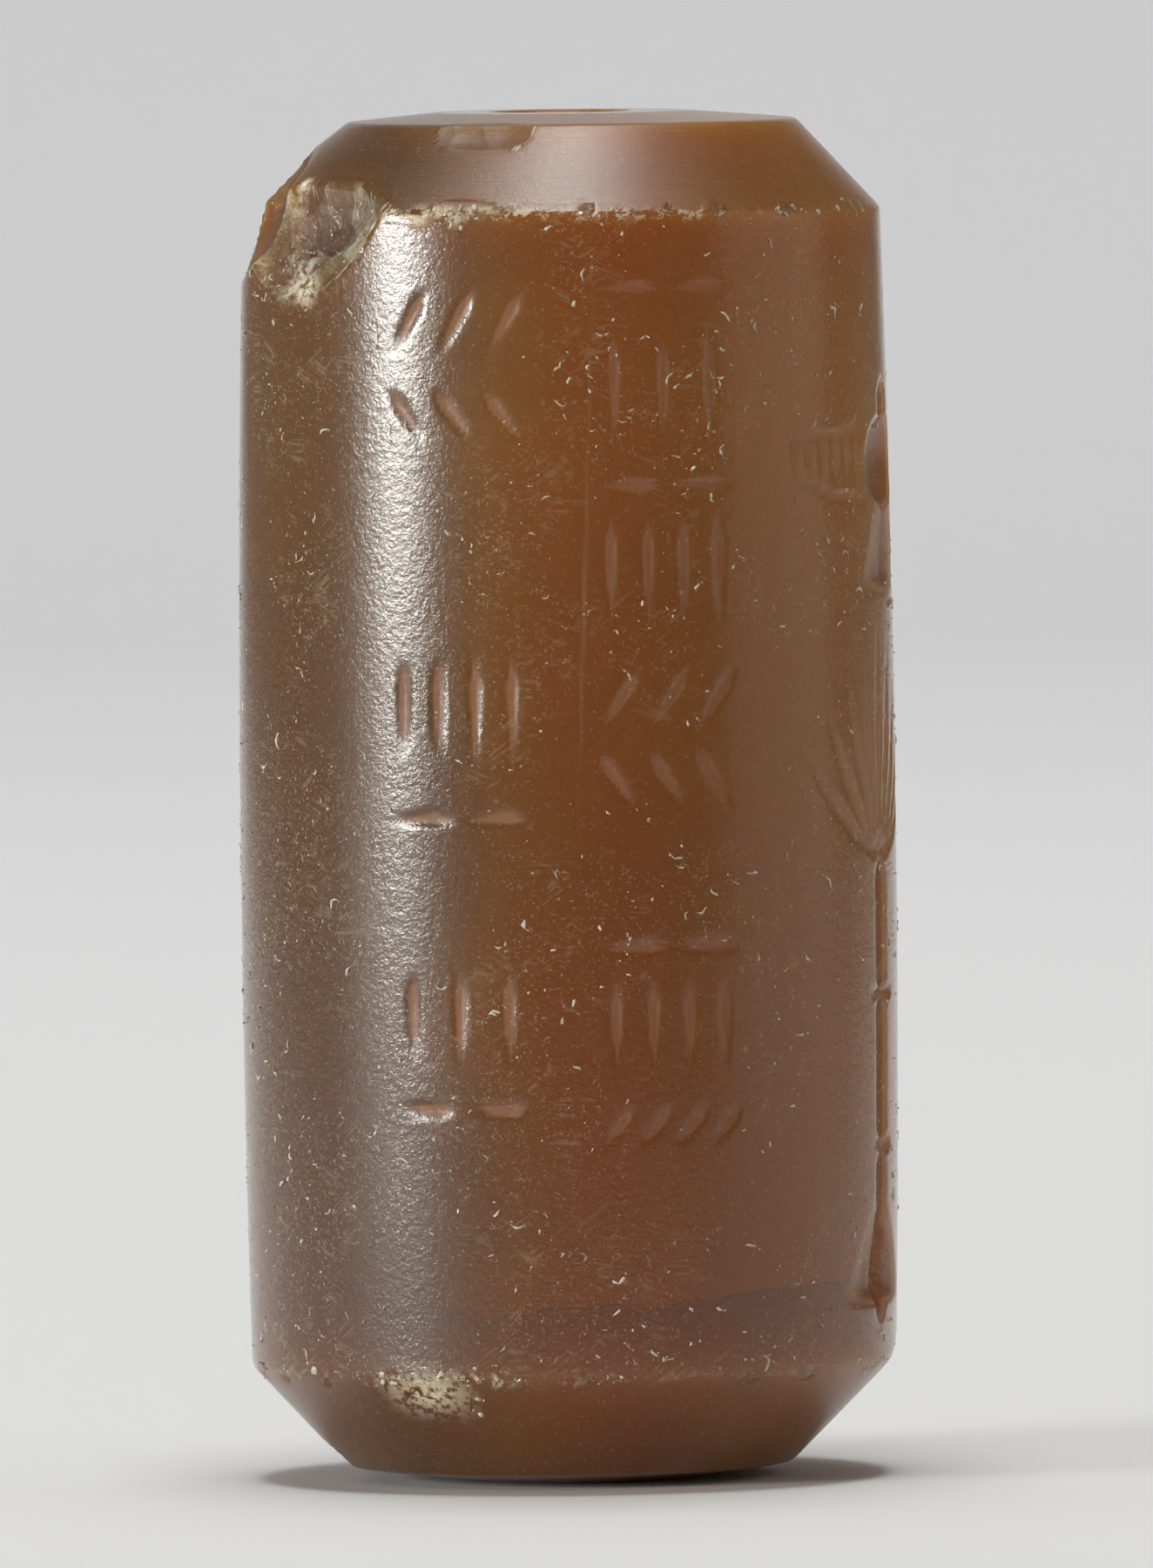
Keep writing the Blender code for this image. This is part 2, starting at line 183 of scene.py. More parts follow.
def mesh_by_nodes(name, mesh, tree, values):
    """Runs a Geometry Nodes tree on a mesh and returns the result as a plain mesh."""
    holder = bpy.data.objects.new(name + " holder", mesh)
    bpy.context.scene.collection.objects.link(holder)
    modifier = holder.modifiers.new(name, "NODES")
    modifier.node_group = tree
    for item in tree.interface.items_tree:
        if item.in_out == "INPUT" and item.name in values:
            modifier[item.identifier] = values[item.name]
    graph = bpy.context.evaluated_depsgraph_get()
    result = bpy.data.meshes.new_from_object(
        holder.evaluated_get(graph), preserve_all_data_layers=True, depsgraph=graph
    )
    result.name = name
    bpy.data.objects.remove(holder, do_unlink=True)
    return result


def hidden_object(name, mesh):
    """An object that a tree reads, kept out of the render. It is removed once the tree has run."""
    made = bpy.data.objects.new(name, mesh)
    bpy.context.scene.collection.objects.link(made)
    made.hide_render = True
    return made


print("helpers ready")

# %% [markdown]
# ## The outline of the stone
# A seal like this was roughed out, ground to a drum on a flat stone and bevelled at both ends.
# Its wall is very slightly barrelled. One outline, turned round the bore, gives the whole form.
# Each ring of the outline also holds how far it is pushed sideways and how much it leans, because
# the bevels were ground by hand and are not quite true to the bore.

# %% Sizes of the stone, in metres
TOP_EDGE_RADIUS = 8.40 * MM
FOOT_EDGE_RADIUS = 8.50 * MM
WIDEST_SHARE = 0.42
TOP_RIM_RADIUS = 5.90 * MM
TOP_RIM_SHIFT = 0.30 * MM
TOP_RIM_HEIGHT = HEIGHT - 0.23 * MM
TOP_EDGE_HEIGHT = TOP_RIM_HEIGHT - 2.25 * MM
TOP_EDGE_TILT = -0.12 * MM
FOOT_RIM_RADIUS = 5.90 * MM
FOOT_RIM_SHIFT = -0.14 * MM
FOOT_RIM_HEIGHT = 0.36 * MM
FOOT_EDGE_HEIGHT = FOOT_RIM_HEIGHT + 2.70 * MM
FOOT_EDGE_TILT = 0.05 * MM
LAND_RADIUS = 3.30 * MM
BORE_RADIUS = 1.60 * MM
MOUTH_CHAMFER = 0.25 * MM
WALL_HEIGHT = TOP_EDGE_HEIGHT - FOOT_EDGE_HEIGHT
WIDEST_HEIGHT = FOOT_EDGE_HEIGHT + WIDEST_SHARE * WALL_HEIGHT


def up_the_wall(share):
    """Height of a place on the wall, 0 at its lower edge and 1 at its upper edge."""
    return FOOT_EDGE_HEIGHT + share * WALL_HEIGHT


def wall_radius(height):
    """Radius of the barrelled wall."""
    if height > WIDEST_HEIGHT:
        edge_radius, reach = TOP_EDGE_RADIUS, TOP_EDGE_HEIGHT - WIDEST_HEIGHT
    else:
        edge_radius, reach = FOOT_EDGE_RADIUS, WIDEST_HEIGHT - FOOT_EDGE_HEIGHT
    share = (height - WIDEST_HEIGHT) / reach
    return WIDEST_RADIUS - (WIDEST_RADIUS - edge_radius) * share * share


def around(angle, radius, height, shift=0.0):
    """Point at an angle in degrees: 0 is the front, and angles grow to the right."""
    turn = math.radians(angle)
    return Vector((shift + radius * math.sin(turn), -radius * math.cos(turn), height))


def edge_point(name, angle):
    """Point on one of the four edges of the stone."""
    lean = math.sin(math.radians(angle))
    if name == "top":
        height = TOP_EDGE_HEIGHT + TOP_EDGE_TILT * lean
        return around(angle, wall_radius(height), height)
    if name == "top rim":
        return around(angle, TOP_RIM_RADIUS, TOP_RIM_HEIGHT, TOP_RIM_SHIFT)
    if name == "foot":
        height = FOOT_EDGE_HEIGHT + FOOT_EDGE_TILT * lean
        return around(angle, wall_radius(height), height)
    return around(angle, FOOT_RIM_RADIUS, FOOT_RIM_HEIGHT, FOOT_RIM_SHIFT)


print(f"wall from {FOOT_EDGE_HEIGHT / MM:.2f} to {TOP_EDGE_HEIGHT / MM:.2f} mm")

# %% Rings of the outline: radius, height, sideways shift, lean
WALL_STEPS = 204
BEVEL_STEPS = 16
END_STEPS = 9
BORE_STEPS = 10
CORNER_STEPS = 3
EDGE_ROUNDING = 0.20 * MM
RIM_ROUNDING = 0.12 * MM


def between(first, second, share):
    return tuple(a + (b - a) * share for a, b in zip(first, second))


def straight(first, second, steps):
    """Rings from the first up to, but not including, the second."""
    return [between(first, second, i / steps) for i in range(steps)]


def towards(first, second, reach):
    """Ring this far from the first along the straight line to the second."""
    run = math.hypot(second[0] - first[0], second[1] - first[1])
    return between(first, second, reach / run)


def rounded(before, corner, after, reach):
    """Rings of a worn corner, as a short quadratic curve."""
    start, end = towards(corner, before, reach), towards(corner, after, reach)
    rings = []
    for i in range(CORNER_STEPS + 1):
        share = i / CORNER_STEPS
        rings.append(between(between(start, corner, share), between(corner, end, share), share))
    return rings


def wall_ring(share):
    height = up_the_wall(share)
    tilt = FOOT_EDGE_TILT + (TOP_EDGE_TILT - FOOT_EDGE_TILT) * share
    return (wall_radius(height), height, 0.0, tilt)


def outline_rings():
    """The closed outline, from the lower mouth up the outside and back down the bore."""
    low_mouth = (BORE_RADIUS + MOUTH_CHAMFER, 0.0, 0.0, 0.0)
    low_land = (LAND_RADIUS, 0.0, 0.0, 0.0)
    foot_rim = (FOOT_RIM_RADIUS, FOOT_RIM_HEIGHT, FOOT_RIM_SHIFT, 0.0)
    top_rim = (TOP_RIM_RADIUS, TOP_RIM_HEIGHT, TOP_RIM_SHIFT, 0.0)
    high_land = (LAND_RADIUS, HEIGHT, 0.0, 0.0)
    high_mouth = (BORE_RADIUS + MOUTH_CHAMFER, HEIGHT, 0.0, 0.0)
    bore_top = (BORE_RADIUS, HEIGHT - MOUTH_CHAMFER, 0.0, 0.0)
    bore_foot = (BORE_RADIUS, MOUTH_CHAMFER, 0.0, 0.0)
    foot_edge, top_edge = wall_ring(0.0), wall_ring(1.0)
    margin = EDGE_ROUNDING / WALL_HEIGHT
    run = 1.0 - 2.0 * margin
    wall = [wall_ring(margin + run * i / WALL_STEPS) for i in range(WALL_STEPS + 1)]
    foot_rim_corner = rounded(low_land, foot_rim, foot_edge, RIM_ROUNDING)
    foot_corner = rounded(foot_rim, foot_edge, wall[1], EDGE_ROUNDING)
    top_corner = rounded(wall[-2], top_edge, top_rim, EDGE_ROUNDING)
    top_rim_corner = rounded(top_edge, top_rim, high_land, RIM_ROUNDING)
    rings = straight(low_mouth, low_land, END_STEPS // 2)
    rings += straight(low_land, foot_rim_corner[0], END_STEPS)
    rings += foot_rim_corner[:-1]
    rings += straight(foot_rim_corner[-1], foot_corner[0], BEVEL_STEPS)
    rings += foot_corner[:-1]
    rings += wall[:-1]
    rings += top_corner[:-1]
    rings += straight(top_corner[-1], top_rim_corner[0], BEVEL_STEPS)
    rings += top_rim_corner[:-1]
    rings += straight(top_rim_corner[-1], high_land, END_STEPS)
    rings += straight(high_land, high_mouth, END_STEPS // 2)
    rings += straight(high_mouth, bore_top, 2)
    rings += straight(bore_top, bore_foot, BORE_STEPS)
    rings += straight(bore_foot, low_mouth, 2)
    return rings + [rings[0]]


rings = outline_rings()
outline_mesh = bpy.data.meshes.new("outline")
outline_mesh.from_pydata([(radius, 0.0, height) for radius, height, _, _ in rings], [], [])
for column, label in ((2, "shift"), (3, "lean")):
    attribute = outline_mesh.attributes.new(label, "FLOAT", "POINT")
    attribute.data.foreach_set("value", [ring[column] for ring in rings])
outline = hidden_object("outline", outline_mesh)
print(f"{len(rings) - 1} rings")

# %% [markdown]
# ## Turning the stone
# The whole skin follows one rule, so Geometry Nodes make it: a flat grid is wrapped round the
# axis, one column of points for each step of the turn and one row for each ring of the outline.
# The columns crowd together on the inscribed side, where the carving needs them, and spread out
# behind. Joining the two seams closes the skin through the bore.

# %% Geometry Nodes: a turned stone
turning, given, made = new_group(
    "GeometryNodeTree",
    "turned stone",
    {
        "Geometry": ("NodeSocketGeometry", None),
        "Outline": ("NodeSocketObject", None),
        "Columns": ("NodeSocketInt", 300),
        "Rings": ("NodeSocketInt", 200),
        "Crowded side": ("NodeSocketFloat", 0.0),
        "Crowding": ("NodeSocketFloat", 0.0),
        "Seam": ("NodeSocketFloat", 1e-6),
        "Material": ("NodeSocketMaterial", None),
    },
    {"Geometry": ("NodeSocketGeometry", None)},
)
columns = maths(turning, "ADD", given["Columns"], 1.0)
grid = add_node(turning, "GeometryNodeMeshGrid", {
    "Size X": 1.0, "Size Y": 1.0, "Vertices X": columns, "Vertices Y": given["Rings"],
})
split = axes_of(turning, grid.outputs["UV Map"])
full_turn = times(turning, split["X"], math.tau)
swing = times(turning, maths(turning, "SINE", full_turn), given["Crowding"])
turn = maths(turning, "ADD", maths(turning, "SUBTRACT", full_turn, swing), given["Crowded side"])
last_ring = maths(turning, "SUBTRACT", given["Rings"], 1.0)
ring_number = maths(turning, "ROUND", times(turning, split["Y"], last_ring))
outline_info = add_node(turning, "GeometryNodeObjectInfo", {"Object": given["Outline"]})


def ring_value(kind, value):
    """Reads one value of the outline at this point's ring."""
    inputs = {"Geometry": outline_info.outputs["Geometry"], "Value": value, "Index": ring_number}
    sampled = add_node(turning, "GeometryNodeSampleIndex", inputs, data_type=kind)
    return enabled_socket(sampled.outputs, "Value")


def named_value(tree, label):
    """Reads a named value of the geometry."""
    made_node = add_node(tree, "GeometryNodeInputNamedAttribute", {"Name": label}, data_type="FLOAT")
    return enabled_socket(made_node.outputs, "Attribute")


place = ring_value("FLOAT_VECTOR", turning.nodes.new("GeometryNodeInputPosition").outputs[0])
ring_place = axes_of(turning, place)
sine = maths(turning, "SINE", turn)
cosine = maths(turning, "COSINE", turn)
shift = ring_value("FLOAT", named_value(turning, "shift"))
lean = ring_value("FLOAT", named_value(turning, "lean"))
x = maths(turning, "MULTIPLY_ADD", ring_place["X"], sine, shift)
y = times(turning, times(turning, ring_place["X"], cosine), -1.0)
z = maths(turning, "MULTIPLY_ADD", sine, lean, ring_place["Z"])
wrapped = add_node(turning, "ShaderNodeCombineXYZ", {"X": x, "Y": y, "Z": z})
placed = add_node(turning, "GeometryNodeSetPosition", {
    "Geometry": grid.outputs["Mesh"], "Position": wrapped.outputs[0],
})
closed = add_node(turning, "GeometryNodeMergeByDistance", {
    "Geometry": placed.outputs[0], "Distance": given["Seam"],
})
smooth = add_node(turning, "GeometryNodeSetShadeSmooth", {"Geometry": closed.outputs[0]})
finish_tree(turning, smooth.outputs[0], given, made)
print(f"{turning.name}: {len(turning.nodes)} nodes")

# %% Turn it
COLUMNS = 340
CROWDED_SIDE = math.radians(25.0)
CROWDING = 0.40
SEAM = 1e-6

stone_material = bpy.data.materials.new("brown chalcedony")
blank = mesh_by_nodes("turned stone", bpy.data.meshes.new("empty"), turning, {
    "Outline": outline, "Columns": COLUMNS, "Rings": len(rings), "Crowded side": CROWDED_SIDE,
    "Crowding": CROWDING, "Seam": SEAM, "Material": stone_material,
})
bpy.data.objects.remove(outline, do_unlink=True)
print(f"blank of {len(blank.vertices)} points and {len(blank.polygons)} faces")

# %% [markdown]
# ## Engraved lines
# The carver cut the lines with a small wheel and a point: each is a shallow V, full at its head
# and fine at its tail. Here the inscription is rows of plain strokes that aren't letters.
# Each stroke is first drawn as a row of points on the wall that also hold its half width and its
# depth, so that a second tree can sink the skin wherever it lies near one.

# %% Drawing lines on the wall
STROKE_WIDTH = 0.44 * MM
STROKE_DEPTH = 0.105 * MM
LINE_STEP = 0.04 * MM
# A stroke's shape: place along its length, and shares of its half width and of its depth there.
STROKE_SHAPE = ((-0.5, 0.3, 0.25), (-0.25, 1.0, 1.0), (0.1, 0.75, 0.8), (0.5, 0.2, 0.0))
drawn_points = []
drawn_widths = []
drawn_depths = []


def draw_line(path, half_widths, depths):
    """Draws a line through (angle, height) points, with a half width and a depth at each."""
    for i in range(len(path) - 1):
        (angle_a, height_a), (angle_b, height_b) = path[i], path[i + 1]
        arc = math.radians(angle_b - angle_a) * WIDEST_RADIUS
        count = max(2, round(math.hypot(arc, height_b - height_a) / LINE_STEP))
        for k in range(count + 1):
            share = k / count
            height = height_a + (height_b - height_a) * share
            angle = angle_a + (angle_b - angle_a) * share
            drawn_points.append(around(angle, wall_radius(height), height))
            drawn_widths.append(half_widths[i] + (half_widths[i + 1] - half_widths[i]) * share)
            drawn_depths.append(depths[i] + (depths[i + 1] - depths[i]) * share)


def draw_stroke(angle, height, lean, length, width=STROKE_WIDTH, depth=STROKE_DEPTH):
    """Draws one stroke: fine at the start, full a quarter of the way down, and fine at the tail."""
    turn = math.radians(lean)
    path, half_widths, depths = [], [], []
    for share, width_share, depth_share in STROKE_SHAPE:
        sideways = -share * length * math.sin(turn)
        path.append((
            angle + math.degrees(sideways / wall_radius(height)),
            height - share * length * math.cos(turn),
        ))
        half_widths.append(width / 2 * width_share)
        depths.append(depth * depth_share)
    draw_line(path, half_widths, depths)


# %% The inscription
COLUMN_WIDTH = 4.0 * MM
LEFT_COLUMN_ANGLE = -19.5
RIGHT_COLUMN_ANGLE = 18.0
# Each row: its place up the wall from 0 to 1, the strokes' lean, their number and their length.
LEFT_ROWS = (
    (0.905, 30.0, 3, 2.0 * MM),
    (0.825, -38.0, 3, 1.8 * MM),
    (0.570, 0.0, 4, 3.1 * MM),
    (0.482, 90.0, 2, 1.8 * MM),
    (0.307, 0.0, 3, 2.6 * MM),
    (0.232, 90.0, 2, 1.8 * MM),
)
RIGHT_ROWS = (
    (0.935, 90.0, 2, 1.8 * MM),
    (0.845, 0.0, 3, 3.0 * MM),
    (0.765, 90.0, 2, 1.8 * MM),
    (0.690, 0.0, 4, 3.0 * MM),
    (0.580, 35.0, 3, 2.0 * MM),
    (0.510, -35.0, 3, 2.0 * MM),
    (0.370, 90.0, 2, 1.8 * MM),
    (0.300, 0.0, 4, 2.4 * MM),
    (0.215, 40.0, 4, 1.3 * MM),
)
strokes = 0
inscribed_columns = ((LEFT_COLUMN_ANGLE, LEFT_ROWS), (RIGHT_COLUMN_ANGLE, RIGHT_ROWS))
for column_angle, column_rows in inscribed_columns:
    for share, lean, count, length in column_rows:
        height = up_the_wall(share)
        for i in range(count):
            offset = (i - (count - 1) / 2) * COLUMN_WIDTH / count
            angle = column_angle + math.degrees(offset / wall_radius(height))
            draw_stroke(angle, height, lean, length)
            strokes += 1
print(f"{strokes} strokes in {len(LEFT_ROWS) + len(RIGHT_ROWS)} rows")

# %% The rule between the columns
RULE_HALF_WIDTH = 0.15 * MM
RULE_DEPTH = 0.035 * MM
RULE_TOP = (5.6, up_the_wall(0.975))
RULE_FOOT = (0.8, up_the_wall(0.36))
rule_middle = between(RULE_TOP, RULE_FOOT, 0.5)
draw_line(
    (RULE_TOP, rule_middle, RULE_FOOT),
    (RULE_HALF_WIDTH * 0.6, RULE_HALF_WIDTH, RULE_HALF_WIDTH * 0.6),
    (RULE_DEPTH * 0.4, RULE_DEPTH, 0.0),
)
print(f"rule {(RULE_TOP[1] - RULE_FOOT[1]) / MM:.1f} mm long")

# %% [markdown]
# ## Bird and plant
# Round to the right a spread bird hovers over a ringed plant. The photograph sees them only from
# the side, so their far halves mirror the near ones. The plant comes once more behind.

# %% The lines of the bird
BIRD_ANGLE = 79.0
BIRD_HEIGHT = up_the_wall(0.778)
BIRD_BODY_WIDTH = 4.0 * MM
BIRD_BODY_HEIGHT = 2.4 * MM
BIRD_HEAD_SIZE = 1.1 * MM
BIRD_DEPTH = 0.36 * MM
WING_REACH = 5.4 * MM
WING_FEATHERS = 6
WING_BONE_RISE = 0.4 * MM
WING_TIP_RISE = 0.8 * MM
FEATHER_LENGTH = 1.8 * MM
FEATHER_WIDTH = 0.34 * MM
FEATHER_DEPTH = 0.06 * MM
WING_EDGE_DEPTH = 0.05 * MM
WING_EDGE_SHARES = (0.0, 0.3, 0.6, 0.85, 1.0)
wing_top = BIRD_HEIGHT + BIRD_BODY_HEIGHT * 0.35


def draw_wing_edge(side, height, tip_rise):
    """One long edge of a wing, from the shoulder to a tip that is higher or lower."""
    shoulder = BIRD_BODY_WIDTH * 0.35
    path = []
    for share in WING_EDGE_SHARES:
        reach = shoulder + (WING_REACH - shoulder) * share
        turn_here = side * math.degrees(reach / wall_radius(height))
        path.append((BIRD_ANGLE + turn_here, height + tip_rise * share ** 3))
    half = FEATHER_WIDTH / 2
    draw_line(path, (half,) * 4 + (half * 0.4,), (0.0,) + (WING_EDGE_DEPTH,) * 3 + (0.0,))


for side in (-1.0, 1.0):
    shoulder = BIRD_BODY_WIDTH / 2
    spacing = (WING_REACH - shoulder) / WING_FEATHERS
    for i in range(WING_FEATHERS):
        reach = shoulder + (i + 0.5) * spacing
        angle = BIRD_ANGLE + side * math.degrees(reach / wall_radius(BIRD_HEIGHT))
        length = FEATHER_LENGTH * (1.0 - 0.06 * i)
        draw_stroke(angle, wing_top - length / 2, 0.0, length * 1.1, FEATHER_WIDTH, FEATHER_DEPTH)
    draw_wing_edge(side, wing_top, -WING_BONE_RISE)
    draw_wing_edge(side, wing_top - FEATHER_LENGTH, WING_TIP_RISE)
print(f"{2 * WING_FEATHERS} feathers")

# %% The lines of a plant
PLANT_ANGLE = 71.5
BACK_PLANT_ANGLE = 168.0
CROWN_HEIGHT = up_the_wall(0.436)
PLANT_FOOT_HEIGHT = up_the_wall(0.05)
FLARE_HEIGHT = 1.9 * MM
STEM_HALF_WIDTH = 0.55 * MM
STEM_DEPTH = 0.16 * MM
STEM_RING_SHARES = (0.36, 0.70)
STEM_RING_REACH = 0.9 * MM
FRONDS = 9
FROND_REACH = 4.1 * MM
INNER_FROND_HEIGHT = 6.6 * MM
OUTER_FROND_HEIGHT = 3.1 * MM
FROND_HALF_WIDTH = 0.25 * MM
FROND_DEPTH = 0.10 * MM
# A frond's curve: shares of its reach to the side and of its height.
FROND_CURVE = ((0.06, 0.02), (0.36, 0.20), (0.66, 0.50), (1.0, 1.0))


def draw_plant(angle):
    """A ringed stem, and fronds that fan out from its crown."""
    stem_heights = (CROWN_HEIGHT + STEM_HALF_WIDTH, CROWN_HEIGHT, PLANT_FOOT_HEIGHT)
    stem = [(angle, height) for height in stem_heights]
    draw_line(stem, (STEM_HALF_WIDTH * 0.5,) + (STEM_HALF_WIDTH,) * 2, (0.0,) + (STEM_DEPTH,) * 2)
    for share in STEM_RING_SHARES:
        height = PLANT_FOOT_HEIGHT + share * (CROWN_HEIGHT - PLANT_FOOT_HEIGHT)
        draw_stroke(angle, height, 90.0, 2 * STEM_RING_REACH, STROKE_WIDTH, STEM_DEPTH * 1.25)
    for i in range(FRONDS):
        spread = 2.0 * i / (FRONDS - 1) - 1.0
        drop = (INNER_FROND_HEIGHT - OUTER_FROND_HEIGHT) * abs(spread) ** 1.3
        tip = INNER_FROND_HEIGHT - drop
        path = []
        for along, up in FROND_CURVE:
            arc = math.degrees(spread * FROND_REACH * along / wall_radius(CROWN_HEIGHT))
            path.append((angle + arc, CROWN_HEIGHT + tip * up))
        half = FROND_HALF_WIDTH
        draw_line(path, (half * 0.5, half * 0.8, half, half * 0.2), (FROND_DEPTH,) * 3 + (0.0,))


for plant_angle in (PLANT_ANGLE, BACK_PLANT_ANGLE):
    draw_plant(plant_angle)

drawn = bpy.data.meshes.new("engraved lines")
drawn.from_pydata(drawn_points, [], [])
for label, values in (("half width", drawn_widths), ("depth", drawn_depths)):
    drawn.attributes.new(label, "FLOAT", "POINT").data.foreach_set("value", values)
drawn_lines = hidden_object("engraved lines", drawn)
print(f"{len(drawn_points)} points of engraved line")

# %% [markdown]
# ## Sinking the lines
# The tree finds, for each point of the skin, the nearest point of a drawn line. Inside the line's
# half width the skin sinks along its normal, deepest in the middle. It also writes how deep it
# went as an attribute, which the stone's finish uses to paint a paler sheen on the cuts' lips and
# shade in their floors, and to take the gloss off them.

# %% Geometry Nodes: engraving
engraving, given, made = new_group(
    "GeometryNodeTree",
    "engraving",
    {
        "Geometry": ("NodeSocketGeometry", None),
        "Lines": ("NodeSocketObject", None),
        "Edge wear": ("NodeSocketFloat", 1.0),
        "Full depth": ("NodeSocketFloat", 0.0003),
        "Material": ("NodeSocketMaterial", None),
    },
    {"Geometry": ("NodeSocketGeometry", None)},
)
lines_info = add_node(engraving, "GeometryNodeObjectInfo", {"Object": given["Lines"]})
lines_geometry = lines_info.outputs["Geometry"]
nearness = add_node(
    engraving, "GeometryNodeProximity", {"Geometry": lines_geometry}, target_element="POINTS"
)
nearest = add_node(engraving, "GeometryNodeSampleNearest", {"Geometry": lines_geometry})


def line_value(label):
    """Reads a value of the nearest point of the drawn lines."""
    inputs = {
        "Geometry": lines_geometry,
        "Value": named_value(engraving, label),
        "Index": nearest.outputs["Index"],
    }
    sampled = add_node(engraving, "GeometryNodeSampleIndex", inputs, data_type="FLOAT")
    return enabled_socket(sampled.outputs, "Value")


away = maths(engraving, "DIVIDE", nearness.outputs["Distance"], line_value("half width"))
inside = maths(engraving, "SUBTRACT", 1.0, away, clamp=True)
worn = remap(engraving, inside, 0.0, given["Edge wear"])
sunk = times(engraving, worn, line_value("depth"))
normal = engraving.nodes.new("GeometryNodeInputNormal")
push = vector_maths(engraving, "SCALE", normal.outputs[0], times(engraving, sunk, -1.0))
moved = add_node(engraving, "GeometryNodeSetPosition", {"Geometry": given["Geometry"], "Offset": push})
marked = add_node(engraving, "GeometryNodeStoreNamedAttribute", {
    "Geometry": moved.outputs[0],
    "Name": "cut",
    "Value": maths(engraving, "DIVIDE", sunk, given["Full depth"]),
}, data_type="FLOAT", domain="POINT")
finish_tree(engraving, marked.outputs[0], given, made)
print(f"{engraving.name}: {len(engraving.nodes)} nodes")

# %% Engrave the blank
EDGE_WEAR = 1.1
stone_mesh = mesh_by_nodes("engraved stone", blank, engraving, {
    "Lines": drawn_lines, "Edge wear": EDGE_WEAR, "Full depth": STROKE_DEPTH,
    "Material": stone_material,
})
bpy.data.objects.remove(drawn_lines, do_unlink=True)
print(f"engraved skin of {len(stone_mesh.vertices)} points")

# %% [markdown]
# ## Hollows and breaks
# The bird's body, the tail and the plant's flared foot are scooped with a round tool, and the
# chips are shells of stone that flew off the edges. Both are pressed into the skin here: each
# point inside a stretched ball moves straight in, until it lies on the ball.

# %% Read the skin as arrays
count = len(stone_mesh.vertices)
skin = np.empty(count * 3)
stone_mesh.vertices.foreach_get("co", skin)
skin = skin.reshape(-1, 3)
cut_depth = np.empty(count, np.float32)
stone_mesh.attributes["cut"].data.foreach_get("value", cut_depth)
broken = np.zeros(count)
crusted = np.zeros(count)
# How far from its middle a rough ball may reach, in its own radii.
BALL_MARGIN = 1.3


def press(centre, axes, outward, ripple=0.0, seed=0.0):
    """Sinks the skin to a stretched ball.

    The axes are the ball's three half axes, and the points move against the outward direction.
    A ripple roughens the ball with three layers of noise, from coarse to fine.
    Returns how far each point moved, and where it lay in the ball.
    """
    frame_axes = np.linalg.inv(np.array(axes, float).T)
    start = (skin - np.array(centre)) @ frame_axes.T
    reach = np.linalg.norm(start, axis=1)
    size = np.ones(count)
    near = np.flatnonzero(reach < BALL_MARGIN)
    if ripple:
        for i in near:
            spot = Vector(start[i])
            rough = noise.noise(spot * 1.7 + Vector((seed * 3.1, 0.0, 0.0)))
            rough += 0.5 * noise.noise(spot * 4.3 + Vector((0.0, seed * 5.3, 0.0)))
            rough += 0.22 * noise.noise(spot * 11.0 + Vector((seed, 0.0, 2.0)))
            size[i] = 1.0 + ripple * rough
    step = -(np.array(outward, float) @ frame_axes.T)
    a = step @ step
    b = start @ step
    c = (start ** 2).sum(axis=1) - size ** 2
    inside_ball = c < 0.0
    travel = np.zeros(count)
    travel[inside_ball] = (-b[inside_ball] + np.sqrt(b[inside_ball] ** 2 - a * c[inside_ball])) / a
    skin[:] = skin - np.outer(travel, np.array(outward, float))
    return travel, start


def press_hollow(angle, height, half_width, half_height, depth):
    """A rounded hollow in the wall."""
    outward = around(angle, 1.0, 0.0)
    sideways = around(angle + 90.0, 1.0, 0.0)
    axes = (sideways * half_width, Vector((0.0, 0.0, half_height)), outward * depth)
    travel, _ = press(around(angle, wall_radius(height), height), axes, outward)
    np.maximum(cut_depth, travel / STROKE_DEPTH, out=cut_depth, casting="unsafe")


WEDGE_LIP = 0.45 * MM


def press_wedge(angle, top, foot, narrow, wide, depth):
    """A hollow that widens and deepens downwards and stops at a square lower end."""
    side = np.degrees(np.arctan2(skin[:, 0], -skin[:, 1])) - angle
    side = (side + 180.0) % 360.0 - 180.0
    radius_here = np.hypot(skin[:, 0], skin[:, 1])
    share = (top - skin[:, 2]) / (top - foot)
    on_wall = (radius_here > TOP_RIM_RADIUS) & (share > 0.0)
    half = narrow + (wide - narrow) * np.clip(share, 0.0, 1.0)
    across = np.abs(np.radians(side)) * WIDEST_RADIUS / half
    lip = np.clip((skin[:, 2] - foot) / WEDGE_LIP, 0.0, 1.0)
    sink = depth * np.clip(1.0 - across, 0.0, 1.0) * np.clip(share * 1.6, 0.0, 1.0) * lip
    sink = np.where(on_wall, sink, 0.0)
    skin[:, 0] *= 1.0 - sink / radius_here
    skin[:, 1] *= 1.0 - sink / radius_here
    np.maximum(cut_depth, sink / STROKE_DEPTH, out=cut_depth, casting="unsafe")


# %% Scoop the bird and the plants' feet
TAIL_LENGTH = 2.9 * MM
TAIL_HALF_WIDTH = 2.3 * MM
TAIL_DEPTH = 0.20 * MM
FLARE_HALF_WIDTH = 2.5 * MM
FLARE_DEPTH = 0.26 * MM

